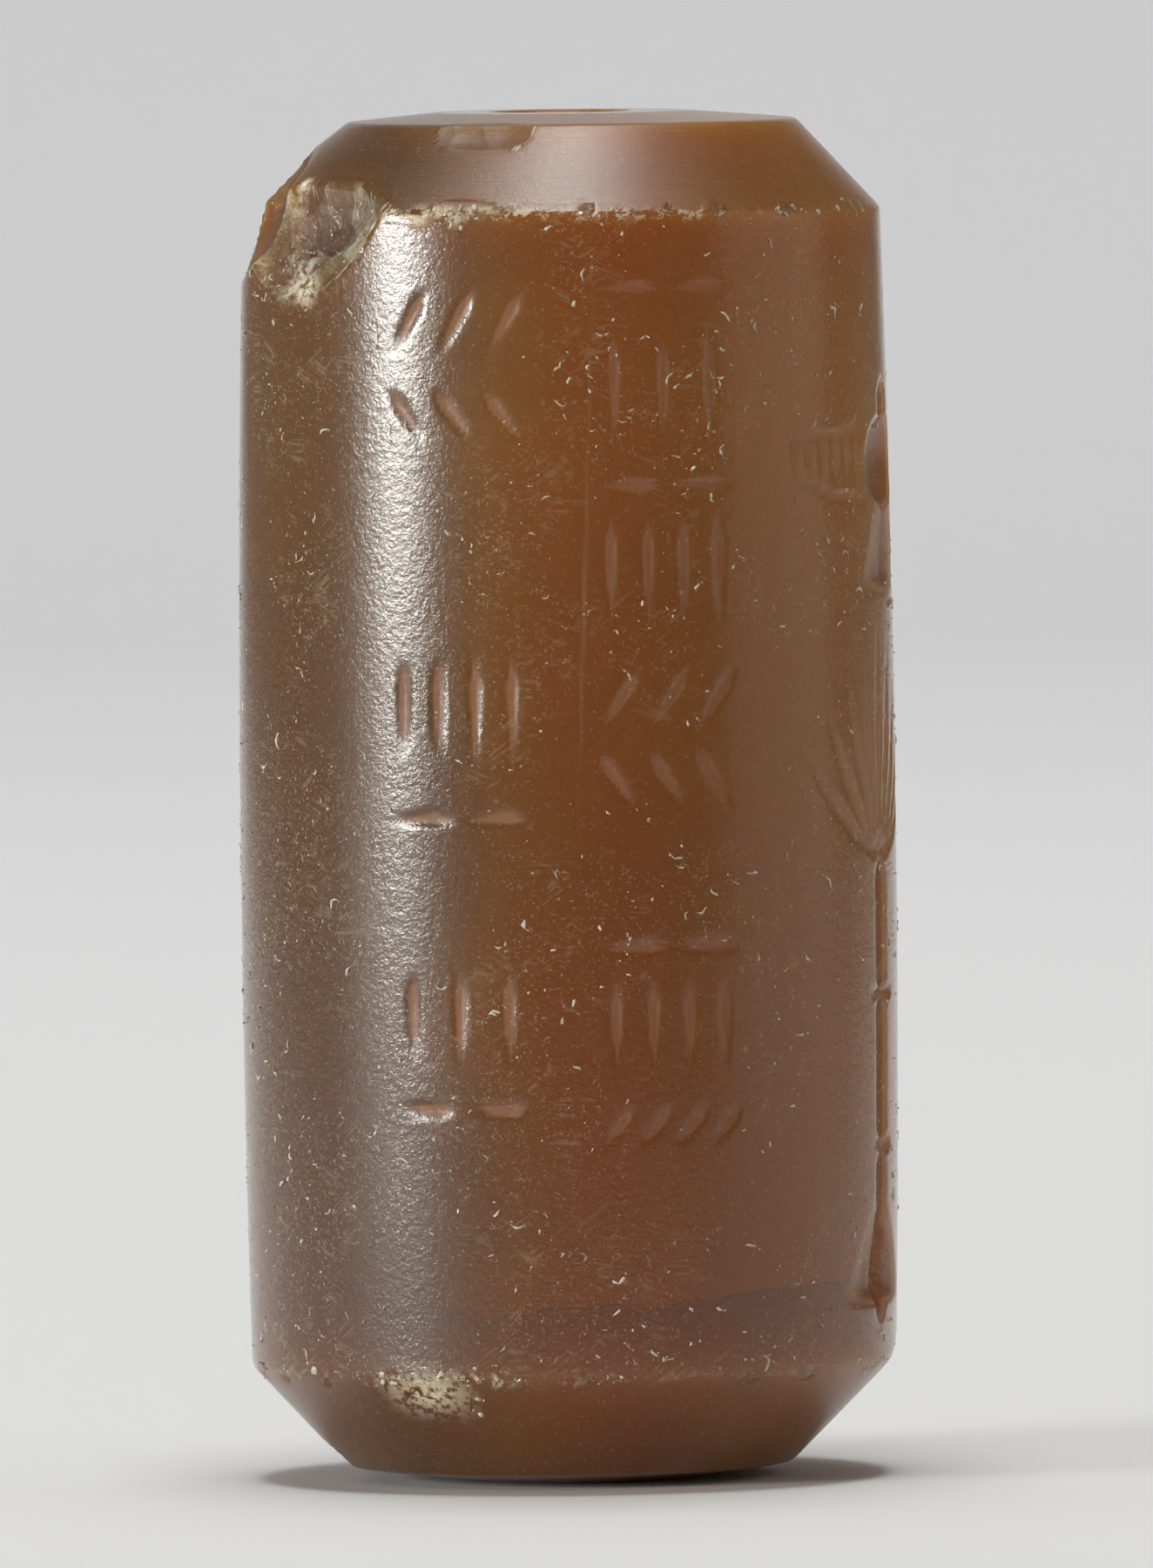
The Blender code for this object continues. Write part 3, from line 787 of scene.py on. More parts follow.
press_hollow(BIRD_ANGLE, BIRD_HEIGHT, BIRD_BODY_WIDTH / 2, BIRD_BODY_HEIGHT / 2, BIRD_DEPTH)
head_height = BIRD_HEIGHT + BIRD_BODY_HEIGHT / 2 + BIRD_HEAD_SIZE * 0.3
press_hollow(BIRD_ANGLE, head_height, BIRD_HEAD_SIZE / 2, BIRD_HEAD_SIZE / 2, BIRD_DEPTH * 0.6)
tail_top = BIRD_HEIGHT - BIRD_BODY_HEIGHT * 0.25
press_wedge(BIRD_ANGLE, tail_top, tail_top - TAIL_LENGTH,
            TAIL_HALF_WIDTH * 0.4, TAIL_HALF_WIDTH, TAIL_DEPTH)
for plant_angle in (PLANT_ANGLE, BACK_PLANT_ANGLE):
    press_wedge(plant_angle, PLANT_FOOT_HEIGHT + FLARE_HEIGHT * 1.5, PLANT_FOOT_HEIGHT,
                STEM_HALF_WIDTH, FLARE_HALF_WIDTH, FLARE_DEPTH)
print(f"deepest cut {cut_depth.max() * STROKE_DEPTH / MM:.2f} mm")

# %% Break the edges
# Each one: edge, angle, length along the edge, width across it, depth, slide down the face, crust,
# and the side of the break where the crust lies: along the edge and up across it.
CHIPS = (
    ("top", -58.0, 6.6 * MM, 2.8 * MM, 0.50 * MM, 1.3 * MM, 0.5, (-0.6, -1.0)),
    ("top", -88.0, 6.6 * MM, 5.2 * MM, 0.80 * MM, 1.0 * MM, 0.0, (0.8, -0.6)),
    ("top", -38.0, 1.1 * MM, 1.2 * MM, 0.30 * MM, -0.1 * MM, 0.25, (-0.9, -0.3)),
    ("top", -18.0, 2.4 * MM, 0.8 * MM, 0.12 * MM, 0.1 * MM, 0.7, (0.0, 1.0)),
    ("top", 118.0, 3.1 * MM, 1.8 * MM, 0.40 * MM, 0.3 * MM, 0.5, (1.0, -0.4)),
    ("top", 203.0, 4.4 * MM, 2.2 * MM, 0.45 * MM, 0.2 * MM, 0.6, (-0.8, -0.6)),
    ("top rim", -22.0, 4.6 * MM, 1.7 * MM, 0.15 * MM, 0.0, 0.0, (0.0, 1.0)),
    ("top rim", 150.0, 2.2 * MM, 1.0 * MM, 0.28 * MM, 0.0, 0.2, (0.0, 1.0)),
    ("foot", -31.0, 3.0 * MM, 1.4 * MM, 0.34 * MM, -0.3 * MM, 1.0, (0.0, -1.0)),
    ("foot", 88.0, 1.8 * MM, 1.2 * MM, 0.26 * MM, 0.2 * MM, 0.6, (0.5, -0.8)),
    ("foot", 224.0, 3.6 * MM, 1.8 * MM, 0.42 * MM, 0.2 * MM, 0.6, (-0.6, -0.8)),
    ("foot rim", -92.0, 5.2 * MM, 1.9 * MM, 0.30 * MM, 0.0, 0.0, (0.0, 1.0)),
)
NICKS_PER_EDGE = 26
NICK_LENGTH = 0.9 * MM
NICK_WIDTH = NICK_LENGTH * 0.6
NICK_DEPTH = 0.06 * MM
NICK_CRUST = 0.2
NICK_SEED = 100
CHIP_ROUGHNESS = 0.16
WORN_ROUGHNESS = 0.02
# How deep a break is before it counts as fresh, and how fresh one without crust may look.
FRESH_DEPTH = 0.04 * MM
WORN_FRESHNESS = 0.2


def break_edge(edge, angle, length, width, depth, slide, crust, crust_side, seed):
    """Presses a rough ball into an edge, as a struck flake leaves it."""
    up = 1.0 if edge.startswith("top") else -1.0
    outward = (around(angle, 1.0, 0.0) + Vector((0.0, 0.0, up))).normalized()
    sideways = around(angle + 90.0, 1.0, 0.0)
    across = outward.cross(sideways).normalized()
    thickness = max(width, depth * 2.0)
    centre = edge_point(edge, angle) + outward * (thickness - depth)
    centre = centre - Vector((0.0, 0.0, up * slide))
    span = math.sqrt(max(1.0 - (1.0 - depth / thickness) ** 2, 0.05)) * 2.0
    axes = (sideways * length / span, across * width / span, outward * thickness)
    worn_smooth = crust == 0.0
    roughness = WORN_ROUGHNESS if worn_smooth else CHIP_ROUGHNESS
    travel, start = press(centre, axes, outward, roughness, seed)
    fresh = np.clip(travel / FRESH_DEPTH, 0.0, WORN_FRESHNESS if worn_smooth else 1.0)
    np.maximum(broken, fresh, out=broken)
    rim = np.clip((np.hypot(start[:, 0], start[:, 1]) * 2.0 / span - 0.35) / 0.5, 0.0, 1.0)
    lean = (start[:, 0] * crust_side[0] + start[:, 1] * crust_side[1]) * 2.0 / span
    np.maximum(crusted, fresh * crust * rim * np.clip(lean * 1.6 + 0.1, 0.0, 1.0), out=crusted)


for seed, chip in enumerate(CHIPS):
    break_edge(*chip, seed)
chance = random.Random(7)
for edge in ("top", "foot"):
    for i in range(NICKS_PER_EDGE):
        angle = 360.0 * (i + chance.uniform(0.1, 0.9)) / NICKS_PER_EDGE
        size = chance.uniform(0.5, 1.2)
        depth = NICK_DEPTH * chance.uniform(0.6, 1.4)
        side = (chance.uniform(-1.0, 1.0), chance.uniform(-1.0, 1.0))
        length = NICK_LENGTH * size
        break_edge(edge, angle, length, NICK_WIDTH, depth, 0.0, NICK_CRUST, side, NICK_SEED + i)
broken_points = int((broken > 0.5).sum())
print(f"{len(CHIPS)} chips and {2 * NICKS_PER_EDGE} nicks, {broken_points} points broken")

# %% [markdown]
# ## Where the skin is ground, worn and marked
# The finish changes over the stone, so the skin carries it as named values. The bevels keep the
# marks of the grindstone, the edges between them and the wall are ragged, and the wall has small
# crescent bruises, packed with pale earth, that come in loose groups.

# %% Values that follow the skin
GROUND_FADE = 0.12 * MM
RAGGED_REACH = 0.16 * MM
# Degrees over which a crumbled stretch of an edge ends.
CRUMBLE_FADE = 5.0
GROUP_SIZE = 3.2 * MM
# How much of the wall is marked: on average, how much that swings, and at least.
MARKED_SHARE, MARKED_SWING, LEAST_MARKED = 0.50, 1.5, 0.06
# Where an edge of the wall is crumbled most: middle angle, and half the span in degrees.
CRUMBLED_TOP = ((-2.0, 30.0), (158.0, 40.0))
CRUMBLED_FOOT = ((-27.0, 14.0), (140.0, 30.0))
SOUND_EDGE = 0.22
# Crust that lies along an edge: middle angle, half the span, and how far it runs onto the bevel.
CRUST_ON_FOOT = (-28.0, 11.0, 0.9 * MM)
# Spots where crust has caked, each with its place in millimetres and its reach.
CRUST_SPOTS = (
    ((-7.5, -3.8, 32.5), 0.62 * MM),
    ((-7.1, -4.4, 31.9), 0.62 * MM),
    ((-6.6, -5.0, 31.5), 0.45 * MM),
    ((-6.8, -3.6, 34.3), 0.26 * MM),
    ((-5.5, -6.3, 33.7), 0.34 * MM),
    ((-3.8, -7.7, 33.5), 0.36 * MM),
    ((-2.8, -8.1, 33.5), 0.30 * MM),
    ((-4.4, -7.4, 33.6), 0.25 * MM),
)
skin_turn = np.arctan2(skin[:, 0], -skin[:, 1])
lean = np.sin(skin_turn)
above = skin[:, 2] - (TOP_EDGE_HEIGHT + TOP_EDGE_TILT * lean)
below = (FOOT_EDGE_HEIGHT + FOOT_EDGE_TILT * lean) - skin[:, 2]
outside = np.hypot(skin[:, 0], skin[:, 1]) > LAND_RADIUS
ground = np.clip(np.maximum(above, below) / GROUND_FADE, 0.0, 1.0) * outside
skin_angle = np.degrees(skin_turn)
ragged = np.zeros(count)
for to_edge, stretches in ((above, CRUMBLED_TOP), (below, CRUMBLED_FOOT)):
    share = np.full(count, SOUND_EDGE)
    for middle, half_span in stretches:
        off = np.abs((skin_angle - middle + 180.0) % 360.0 - 180.0)
        crumbled = np.clip((half_span + CRUMBLE_FADE - off) / CRUMBLE_FADE, 0.0, 1.0)
        share = np.maximum(share, crumbled)
    ragged = np.maximum(ragged, np.exp(-(to_edge / RAGGED_REACH) ** 2) * outside * share)
on_wall = (1.0 - ground) * outside
middle, half_span, run = CRUST_ON_FOOT
off = np.abs(skin_angle - middle) / half_span
along_edge = np.clip((1.0 - off) * 1.3, 0.0, 1.0)
down_bevel = np.clip(1.0 - np.abs(below / run - 0.40) / 0.9, 0.0, 1.0)
crusted = np.maximum(crusted, along_edge * down_bevel * outside)
for spot_place, reach in CRUST_SPOTS:
    away = np.linalg.norm(skin - np.array(spot_place) * MM, axis=1)
    crusted = np.maximum(crusted, np.clip(1.4 - away / reach, 0.0, 1.0) * outside)
groups = np.array([noise.noise(Vector(place) / GROUP_SIZE) for place in skin])
marked = on_wall * np.clip(MARKED_SHARE + MARKED_SWING * groups, LEAST_MARKED, 1.0)
print(f"ground {ground.mean():.2f}, ragged {ragged.mean():.3f}, marked {marked.mean():.2f} on average")

# %% Write the skin back
stone_mesh.vertices.foreach_set("co", skin.ravel())
skin_values = {
    "cut": np.clip(cut_depth, 0.0, 1.0),
    "broken": broken,
    "crust": crusted,
    "ground": ground,
    "ragged": ragged,
    "marked": marked,
}
for label, values in skin_values.items():
    attribute = stone_mesh.attributes.get(label) or stone_mesh.attributes.new(label, "FLOAT", "POINT")
    attribute.data.foreach_set("value", values.astype(np.float32))
stone_mesh.update()
seal = bpy.data.objects.new("seal_stone", stone_mesh)
bpy.context.scene.collection.objects.link(seal)
check = bmesh.new()
check.from_mesh(stone_mesh)
open_edges = sum(not edge.is_manifold for edge in check.edges)
volume = check.calc_volume(signed=True)
check.free()
print(f"{len(stone_mesh.polygons)} faces, {open_edges} open edges, {volume * 1e9:.0f} cubic mm")

# %% [markdown]
# ## Chalcedony
# The stone is fine-grained quartz, brown and waxy, and light goes deep into it before it comes
# back, so neither side of the seal is dark. Its colour runs in broad upright bands: dull brown at
# the left, orange in the middle, then redder brown. The glowing orange middle is painted light
# that passes through the stone, and the dull left is painted shade against the strong light on
# that side. Near the foot a thin veil crosses it, darker below.
# Each effect is a node group of its own. It puts out a colour, a mask or a height, so that a
# finish takes it in with its own values, as often as it needs it.

# %% Node group: the stone's colour, with painted glow and shade
def colour_ramp(tree, factor, stops):
    """Colours that follow one another at the given positions, from 0 to 1."""
    ramp = add_node(tree, "ShaderNodeValToRGB", {0: factor})
    while len(ramp.color_ramp.elements) < len(stops):
        ramp.color_ramp.elements.new(0.5)
    for element, (position, colour) in zip(ramp.color_ramp.elements, stops):
        element.position = position
        element.color = (*colour, 1.0)
    return ramp.outputs["Color"]


stone_colour_and_painted_light, given, made = new_group(
    "ShaderNodeTree",
    "chalcedony colour and painted light",
    {"Place": ("NodeSocketVector", None), "Veil height": ("NodeSocketFloat", 5.0)},
    {"Color": ("NodeSocketColor", None)},
)
# Painted light in the bands: the orange middle is painted glow, and the dull left is painted shade.
BANDS_AND_GLOW = (
    (0.00, (0.120, 0.057, 0.015)),
    (0.28, (0.134, 0.062, 0.016)),
    (0.39, (0.246, 0.113, 0.025)),
    (0.50, (0.292, 0.110, 0.020)),
    (0.60, (0.330, 0.119, 0.022)),
    (0.72, (0.360, 0.150, 0.023)),
    (1.00, (0.350, 0.156, 0.030)),
)
# The bands are multiplied by painted shade that changes with the height in millimetres: darker
# and redder low on the wall against the light from the floor, darker at the top bevel against the
# light from overhead, and a little lighter on the lower bevel as painted light.
HEIGHT_SHADE_SPAN = 36.0
HEIGHT_SHADES = (
    (1.5, (0.84, 0.69, 0.40)),
    (5.0, (0.67, 0.55, 0.32)),
    (8.0, (0.69, 0.58, 0.38)),
    (15.0, (0.76, 0.68, 0.53)),
    (23.0, (0.86, 0.81, 0.73)),
    (28.0, (0.98, 0.97, 0.93)),
    (31.0, (0.95, 0.95, 0.94)),
    (34.0, (0.76, 0.76, 0.76)),
)
# Millimetres: how far the bands run to either side of the axis, and how far they waver.
BAND_REACH = 9.0
BAND_WANDER = 3.2
# The veil: its colours, how strongly it and its line darken, its tilt and its waves.
BELOW_VEIL = (0.090, 0.036, 0.010, 1.0)
VEIL_LINE = (0.060, 0.024, 0.010, 1.0)
VEIL_DARKNESS = 0.35
VEIL_LINE_DARKNESS = 0.5
VEIL_TILT = 0.045
VEIL_WAVE = 0.5
axis = axes_of(stone_colour_and_painted_light, given["Place"])
cloud = cloudy(stone_colour_and_painted_light, given["Place"], 0.16, 3.0, 0.5)
wander = times(stone_colour_and_painted_light, maths(stone_colour_and_painted_light, "SUBTRACT", cloud, 0.5), BAND_WANDER)
across = maths(stone_colour_and_painted_light, "ADD", axis["X"], wander)
band_share = remap(stone_colour_and_painted_light, across, -BAND_REACH, BAND_REACH, kind="LINEAR")
bands_and_glow = colour_ramp(stone_colour_and_painted_light, band_share, BANDS_AND_GLOW)
ripple = cloudy(stone_colour_and_painted_light, given["Place"], 0.45, 4.0, 0.5)
sway = maths(stone_colour_and_painted_light, "MULTIPLY_ADD", axis["X"], VEIL_TILT, given["Veil height"])
sway = maths(stone_colour_and_painted_light, "MULTIPLY_ADD", ripple, VEIL_WAVE, sway)
level = maths(stone_colour_and_painted_light, "SUBTRACT", axis["Z"], sway)
below_veil = times(stone_colour_and_painted_light, remap(stone_colour_and_painted_light, level, 0.10, -0.10), VEIL_DARKNESS)
line = remap(stone_colour_and_painted_light, maths(stone_colour_and_painted_light, "ABSOLUTE", level), 0.05, 0.0)
line = times(stone_colour_and_painted_light, line, VEIL_LINE_DARKNESS)
line = times(stone_colour_and_painted_light, line, remap(stone_colour_and_painted_light, ripple, 0.38, 0.52))
height_shade_stops = [(height / HEIGHT_SHADE_SPAN, colour) for height, colour in HEIGHT_SHADES]
height_share = remap(stone_colour_and_painted_light, axis["Z"], 0.0, HEIGHT_SHADE_SPAN, kind="LINEAR")
height_shade = colour_ramp(stone_colour_and_painted_light, height_share, height_shade_stops)
deep = mix_colours(stone_colour_and_painted_light, 1.0, bands_and_glow, height_shade, "MULTIPLY")
clouded = mix_colours(stone_colour_and_painted_light, below_veil, deep, BELOW_VEIL)
stone_colour_and_painted_light.links.new(mix_colours(stone_colour_and_painted_light, line, clouded, VEIL_LINE), made["Color"])

# %% Node group: bruises
def thin_lines(tree, given, winding, patches, softness):
    """Lines where one noise passes its middle, left only where another noise is high."""
    off_line = maths(tree, "ABSOLUTE", maths(tree, "SUBTRACT", winding, 0.5))
    hair = remap(tree, off_line, given["Line width"], 0.0)
    start_share = maths(tree, "SUBTRACT", 1.0, given["Share"])
    patchy = remap(tree, patches, start_share, maths(tree, "ADD", start_share, softness))
    return times(tree, hair, patchy)


bruising, given, made = new_group(
    "ShaderNodeTree",
    "bruises",
    {
        "Place": ("NodeSocketVector", None),
        "Line width": ("NodeSocketFloat", 0.012),
        "Share": ("NodeSocketFloat", 0.5),
    },
    {"Mask": ("NodeSocketFloat", None)},
)
winding = cloudy(bruising, given["Place"], 1.9, 3.0, 0.65)
elsewhere = vector_maths(bruising, "ADD", given["Place"], (31.0, 17.0, 5.0))
patches = cloudy(bruising, elsewhere, 2.6, 2.0, 0.7)
bruising.links.new(thin_lines(bruising, given, winding, patches, 0.05), made["Mask"])

# %% [markdown]
# ### Hair scratches
# Wear has left long fine scratches that cross at a slant. A noise that is pulled out along the
# wall gives each set of them. They are laid out on the unrolled wall, whose seam lies behind.

# %% Node group: hair scratches
scratching, given, made = new_group(
    "ShaderNodeTree",
    "hair scratches",
    {
        "Place": ("NodeSocketVector", None),
        "Slope": ("NodeSocketFloat", 0.4),
        "Shift": ("NodeSocketFloat", 0.0),
        "Line width": ("NodeSocketFloat", 0.10),
        "Share": ("NodeSocketFloat", 0.4),
    },
    {"Mask": ("NodeSocketFloat", None)},
)
# Radius of the wall in millimetres, to unroll it.
WALL_RADIUS = 8.65
# How often the noise changes in a millimetre, along a scratch and across it.
SCRATCH_LENGTH = 0.28
SCRATCH_SPACING = 4.0
axis = axes_of(scratching, given["Place"])
towards_front = times(scratching, axis["Y"], -1.0)
turn = maths(scratching, "ARCTAN2", axis["X"], towards_front)
round_wall = times(scratching, turn, WALL_RADIUS)
crosswise = maths(scratching, "MULTIPLY_ADD", round_wall, given["Slope"], axis["Z"])
drawn_out = add_node(scratching, "ShaderNodeCombineXYZ", {
    "X": times(scratching, round_wall, SCRATCH_LENGTH),
    "Y": times(scratching, crosswise, SCRATCH_SPACING),
    "Z": given["Shift"],
})
winding = cloudy(scratching, drawn_out.outputs[0], 1.0, 1.0, 0.5)
shifted = add_node(scratching, "ShaderNodeCombineXYZ", {"X": given["Shift"], "Y": given["Shift"]})
elsewhere = vector_maths(scratching, "ADD", given["Place"], shifted.outputs[0])
patches = cloudy(scratching, elsewhere, 0.9, 3.0, 0.7)
scratching.links.new(thin_lines(scratching, given, winding, patches, 0.12), made["Mask"])

# %% Node group: lines of the grindstone
grinding, given, made = new_group(
    "ShaderNodeTree",
    "grindstone lines",
    {"Place": ("NodeSocketVector", None), "Fineness": ("NodeSocketFloat", 14.0)},
    {"Height": ("NodeSocketFloat", None)},
)
along = add_node(grinding, "ShaderNodeCombineXYZ", {"X": 0.30, "Y": 0.30, "Z": given["Fineness"]})
stretched = vector_maths(grinding, "MULTIPLY", given["Place"], along.outputs[0])
grinding.links.new(cloudy(grinding, stretched, 1.0, 3.0, 0.75), made["Height"])


def use_group(tree, group, inputs):
    """Places a node group in a material and returns its outputs."""
    placed_group = tree.nodes.new("ShaderNodeGroup")
    placed_group.node_tree = group
    for label, value in inputs.items():
        if isinstance(value, bpy.types.NodeSocket):
            tree.links.new(value, placed_group.inputs[label])
        else:
            placed_group.inputs[label].default_value = value
    return placed_group.outputs


def millimetres(tree):
    """Object coordinates, scaled so that one unit is a millimetre."""
    coordinates = tree.nodes.new("ShaderNodeTexCoord")
    return add_node(tree, "ShaderNodeMapping", {
        "Vector": coordinates.outputs["Object"], "Scale": (1.0 / MM,) * 3,
    }).outputs[0]


def skin_value(tree, label):
    """A named value that the skin carries."""
    return add_node(tree, "ShaderNodeAttribute", attribute_name=label).outputs["Fac"]


print("node groups:", ", ".join(group.name for group in bpy.data.node_groups))

# %% [markdown]
# ## The finish of the stone
# The wall was polished and has since worn to a fine orange peel, glossy on its high spots. That
# is two layers here: a satin one below, and a coat over it that breaks and scratches take away.
# The bevels stay as ground, satin with fine lines. Breaks are frosty and a little paler, because
# light scatters on their rough skin, and pale earth sits in cracks and broken edges. The cuts
# carry painted light: a paler sheen on their lips and painted shade on their floors.

# %% Colours and shares of the finish
CRUST_COLOUR = (0.60, 0.55, 0.43, 1.0)
FRACTURE_COLOUR = (0.150, 0.112, 0.075, 1.0)
FROSTED_COLOUR = (0.340, 0.300, 0.240, 1.0)
# Painted light in the cuts: a paler sheen on their lips and painted shade on their floors.
CUT_LIP_SHEEN_COLOUR = (0.420, 0.270, 0.190, 1.0)
CUT_FLOOR_SHADE_COLOUR = (0.200, 0.085, 0.040, 1.0)
# Painted shade for the upper bevel, darkening it against the light from overhead.
BEVEL_SHADE = (0.90, 0.88, 0.78, 1.0)
FRACTURE_SHARE = 0.45
FROSTED_SHARE = 0.7
CUT_SHARE = 0.50
# How pale each mark is, and how much of the gloss it takes away.
BRUISE_PALENESS = 0.50
PIT_PALENESS = 0.22
SCRATCH_PALENESS = 0.16
GROUND_SATIN = 0.22
BREAK_SATIN = 0.5
CUT_SATIN = 0.93
SCRATCH_SATIN = 0.55
# Heights of the relief, in millimetres.
DIMPLE_HEIGHT = 0.0100
GRAIN_HEIGHT = 0.0055
GRINDSTONE_HEIGHT = 0.010
FROST_ON_WALL = 0.0022
FROST_ON_BEVEL = 0.007
RUGGED_HEIGHT = 0.05
FACET_HEIGHT = 0.28
# Hair scratches run three ways: the slope of each, and its shift through the noise.
SCRATCHES = ((0.45, 3.0), (-0.75, 11.0), (0.05, 23.0))
print(f"{len(SCRATCHES)} sets of hair scratches")

# %% What the skin of the stone carries
stone_material.use_nodes = True
tree = stone_material.node_tree
tree.nodes.clear()
spot = millimetres(tree)
base = use_group(tree, stone_colour_and_painted_light, {"Place": spot, "Veil height": 4.7})["Color"]
cut = skin_value(tree, "cut")
fresh = skin_value(tree, "broken")
crust = skin_value(tree, "crust")
ground_skin = skin_value(tree, "ground")
ragged_edge = skin_value(tree, "ragged")
marked_skin = skin_value(tree, "marked")
grime = cloudy(tree, spot, 3.2, 3.0, 0.75)
grain = cloudy(tree, spot, 11.0, 2.0, 0.6)

# %% Marks and crust, as masks
bruised = use_group(tree, bruising, {"Place": spot, "Line width": 0.014, "Share": 0.42})["Mask"]
bruised = times(tree, bruised, remap(tree, marked_skin, 0.10, 0.60, 0.25, 1.0))
pitted = remap(tree, maths(tree, "MULTIPLY_ADD", marked_skin, 0.05, grain), 0.63, 0.72)
scratched = None
for slope, shift in SCRATCHES:
    mask = use_group(tree, scratching, {
        "Place": spot, "Slope": slope, "Shift": shift, "Line width": 0.05, "Share": 0.46,
    })["Mask"]
    scratched = mask if scratched is None else larger(tree, scratched, mask)
scratched = times(tree, scratched, remap(tree, marked_skin, 0.05, 0.60, 0.2, 1.0))
pale = larger(tree, times(tree, bruised, BRUISE_PALENESS), times(tree, pitted, PIT_PALENESS))
pale = larger(tree, pale, times(tree, scratched, SCRATCH_PALENESS))
ragged_crust = times(tree, ragged_edge, remap(tree, grime, 0.54, 0.62))
crumbly = times(tree, crust, remap(tree, grime, 0.40, 0.54))
crumbly = larger(tree, crumbly, times(tree, ragged_crust, 0.85))

# %% Colour, from the stone up to the crust
height_here = axes_of(tree, spot)["Z"]
# Painted shade: the upper bevel is darkened against the overhead light that falls on it.
upper_bevel = times(tree, ground_skin, remap(tree, height_here, 15.0, 20.0))
shaded = mix_colours(tree, upper_bevel, base, BEVEL_SHADE, "MULTIPLY")
facets = add_node(tree, "ShaderNodeTexVoronoi", {
    "Vector": vector_maths(tree, "MULTIPLY", spot, (1.0, 1.0, 0.6)), "Scale": 0.85,
}, feature="F1")
frosting = add_node(tree, "ShaderNodeSeparateColor", {0: facets.outputs["Color"]}).outputs[0]
frosting = times(tree, remap(tree, frosting, 0.45, 0.95), remap(tree, grime, 0.30, 0.60))
frosting = times(tree, frosting, fresh)
# Painted sheen on the lips of the cuts and painted shade in their floors.
cut_floor_shade = remap(tree, cut, 0.45, 1.0)
cut_lip_sheen = maths(tree, "SUBTRACT", remap(tree, cut, 0.04, 0.35), cut_floor_shade)
colour = mix_colours(tree, times(tree, fresh, FRACTURE_SHARE), shaded, FRACTURE_COLOUR)
colour = mix_colours(tree, times(tree, frosting, FROSTED_SHARE), colour, FROSTED_COLOUR)
colour = mix_colours(tree, times(tree, cut_lip_sheen, CUT_SHARE), colour, CUT_LIP_SHEEN_COLOUR)
colour = mix_colours(tree, times(tree, cut_floor_shade, CUT_SHARE), colour, CUT_FLOOR_SHADE_COLOUR)
colour = mix_colours(tree, pale, colour, CRUST_COLOUR)
colour = mix_colours(tree, crumbly, colour, CRUST_COLOUR)

# %% Gloss
satin = larger(tree, times(tree, ground_skin, GROUND_SATIN), times(tree, fresh, BREAK_SATIN))
satin = larger(tree, satin, times(tree, remap(tree, cut, 0.0, 0.3), CUT_SATIN))
satin = larger(tree, satin, times(tree, scratched, SCRATCH_SATIN))
satin = larger(tree, satin, larger(tree, pale, crumbly))
gloss = maths(tree, "SUBTRACT", 1.0, satin, clamp=True)
rough = maths(tree, "MULTIPLY_ADD", crumbly, 0.4, 0.40, clamp=True)

# %% Relief, from the orange peel to the facets of a break
dimples = cloudy(tree, spot, 5.0, 2.0, 0.6)
peel = maths(tree, "MULTIPLY_ADD", dimples, DIMPLE_HEIGHT, times(tree, grain, GRAIN_HEIGHT))
peel = times(tree, peel, maths(tree, "SUBTRACT", 1.0, ground_skin))
lines = use_group(tree, grinding, {"Place": spot, "Fineness": 14.0})["Height"]
frost = cloudy(tree, spot, 40.0, 1.0, 0.5)
frosted = remap(tree, ground_skin, 0.0, 1.0, FROST_ON_WALL, FROST_ON_BEVEL, kind="LINEAR")
rugged = larger(tree, fresh, larger(tree, crumbly, ragged_edge))
relief = peel
for layer, height in (
    (times(tree, lines, ground_skin), GRINDSTONE_HEIGHT),
    (frost, frosted),
    (times(tree, grime, rugged), RUGGED_HEIGHT),
    (times(tree, facets.outputs["Distance"], fresh), FACET_HEIGHT),
):
    relief = maths(tree, "MULTIPLY_ADD", layer, height, relief)
bump = add_node(tree, "ShaderNodeBump", {"Strength": 1.0, "Distance": MM, "Height": relief})

# %% Material: brown chalcedony
stone_shader = add_node(tree, "ShaderNodeBsdfPrincipled", {
    "Base Color": colour,
    "Roughness": rough,
    "IOR": 1.54,
    "Normal": bump.outputs[0],
    "Subsurface Weight": 1.0,
    "Subsurface Radius": (1.0, 0.50, 0.25),
    "Subsurface Scale": 14.0 * MM,
    "Subsurface Anisotropy": 0.3,
    "Specular IOR Level": 0.20,
    "Coat Weight": gloss,
    "Coat Roughness": 0.115,
    "Coat IOR": 1.5,
    "Coat Normal": bump.outputs[0],
}, subsurface_method="RANDOM_WALK")
surface = tree.nodes.new("ShaderNodeOutputMaterial")
tree.links.new(stone_shader.outputs[0], surface.inputs["Surface"])

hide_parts("cylinder_seal")
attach(seal, "root")
print(f"{stone_material.name}: {len(tree.nodes)} nodes")

# %% [markdown]
# ## Burial crust
# Pale earth and lime have set hard in the breaks, along the worn edges and in the small crescent
# bruises of the wall. They stand a hair above the stone, so they are real relief: short curved
# crumbs and specks scattered where the skin is marked, and lumps crowded where it carries crust.

# %% Geometry Nodes: crumbs of crust
crumbs, given, made = new_group(
    "GeometryNodeTree",
    "crumbs of crust",
    {
        "Geometry": ("NodeSocketGeometry", None),
        "Crescents per mm2": ("NodeSocketFloat", 0.5),
        "Crescent size": ("NodeSocketFloat", 0.0002),
        "Specks per mm2": ("NodeSocketFloat", 1.0),
        "Speck size": ("NodeSocketFloat", 0.00002),
        "Lumps per mm2": ("NodeSocketFloat", 20.0),
        "Lump size": ("NodeSocketFloat", 0.00006),
        "Roughening": ("NodeSocketFloat", 0.00003),
        "Seed": ("NodeSocketInt", 1),
        "Material": ("NodeSocketMaterial", None),
    },
    {"Geometry": ("NodeSocketGeometry", None)},
)
PER_SQUARE_METRE = 1e6


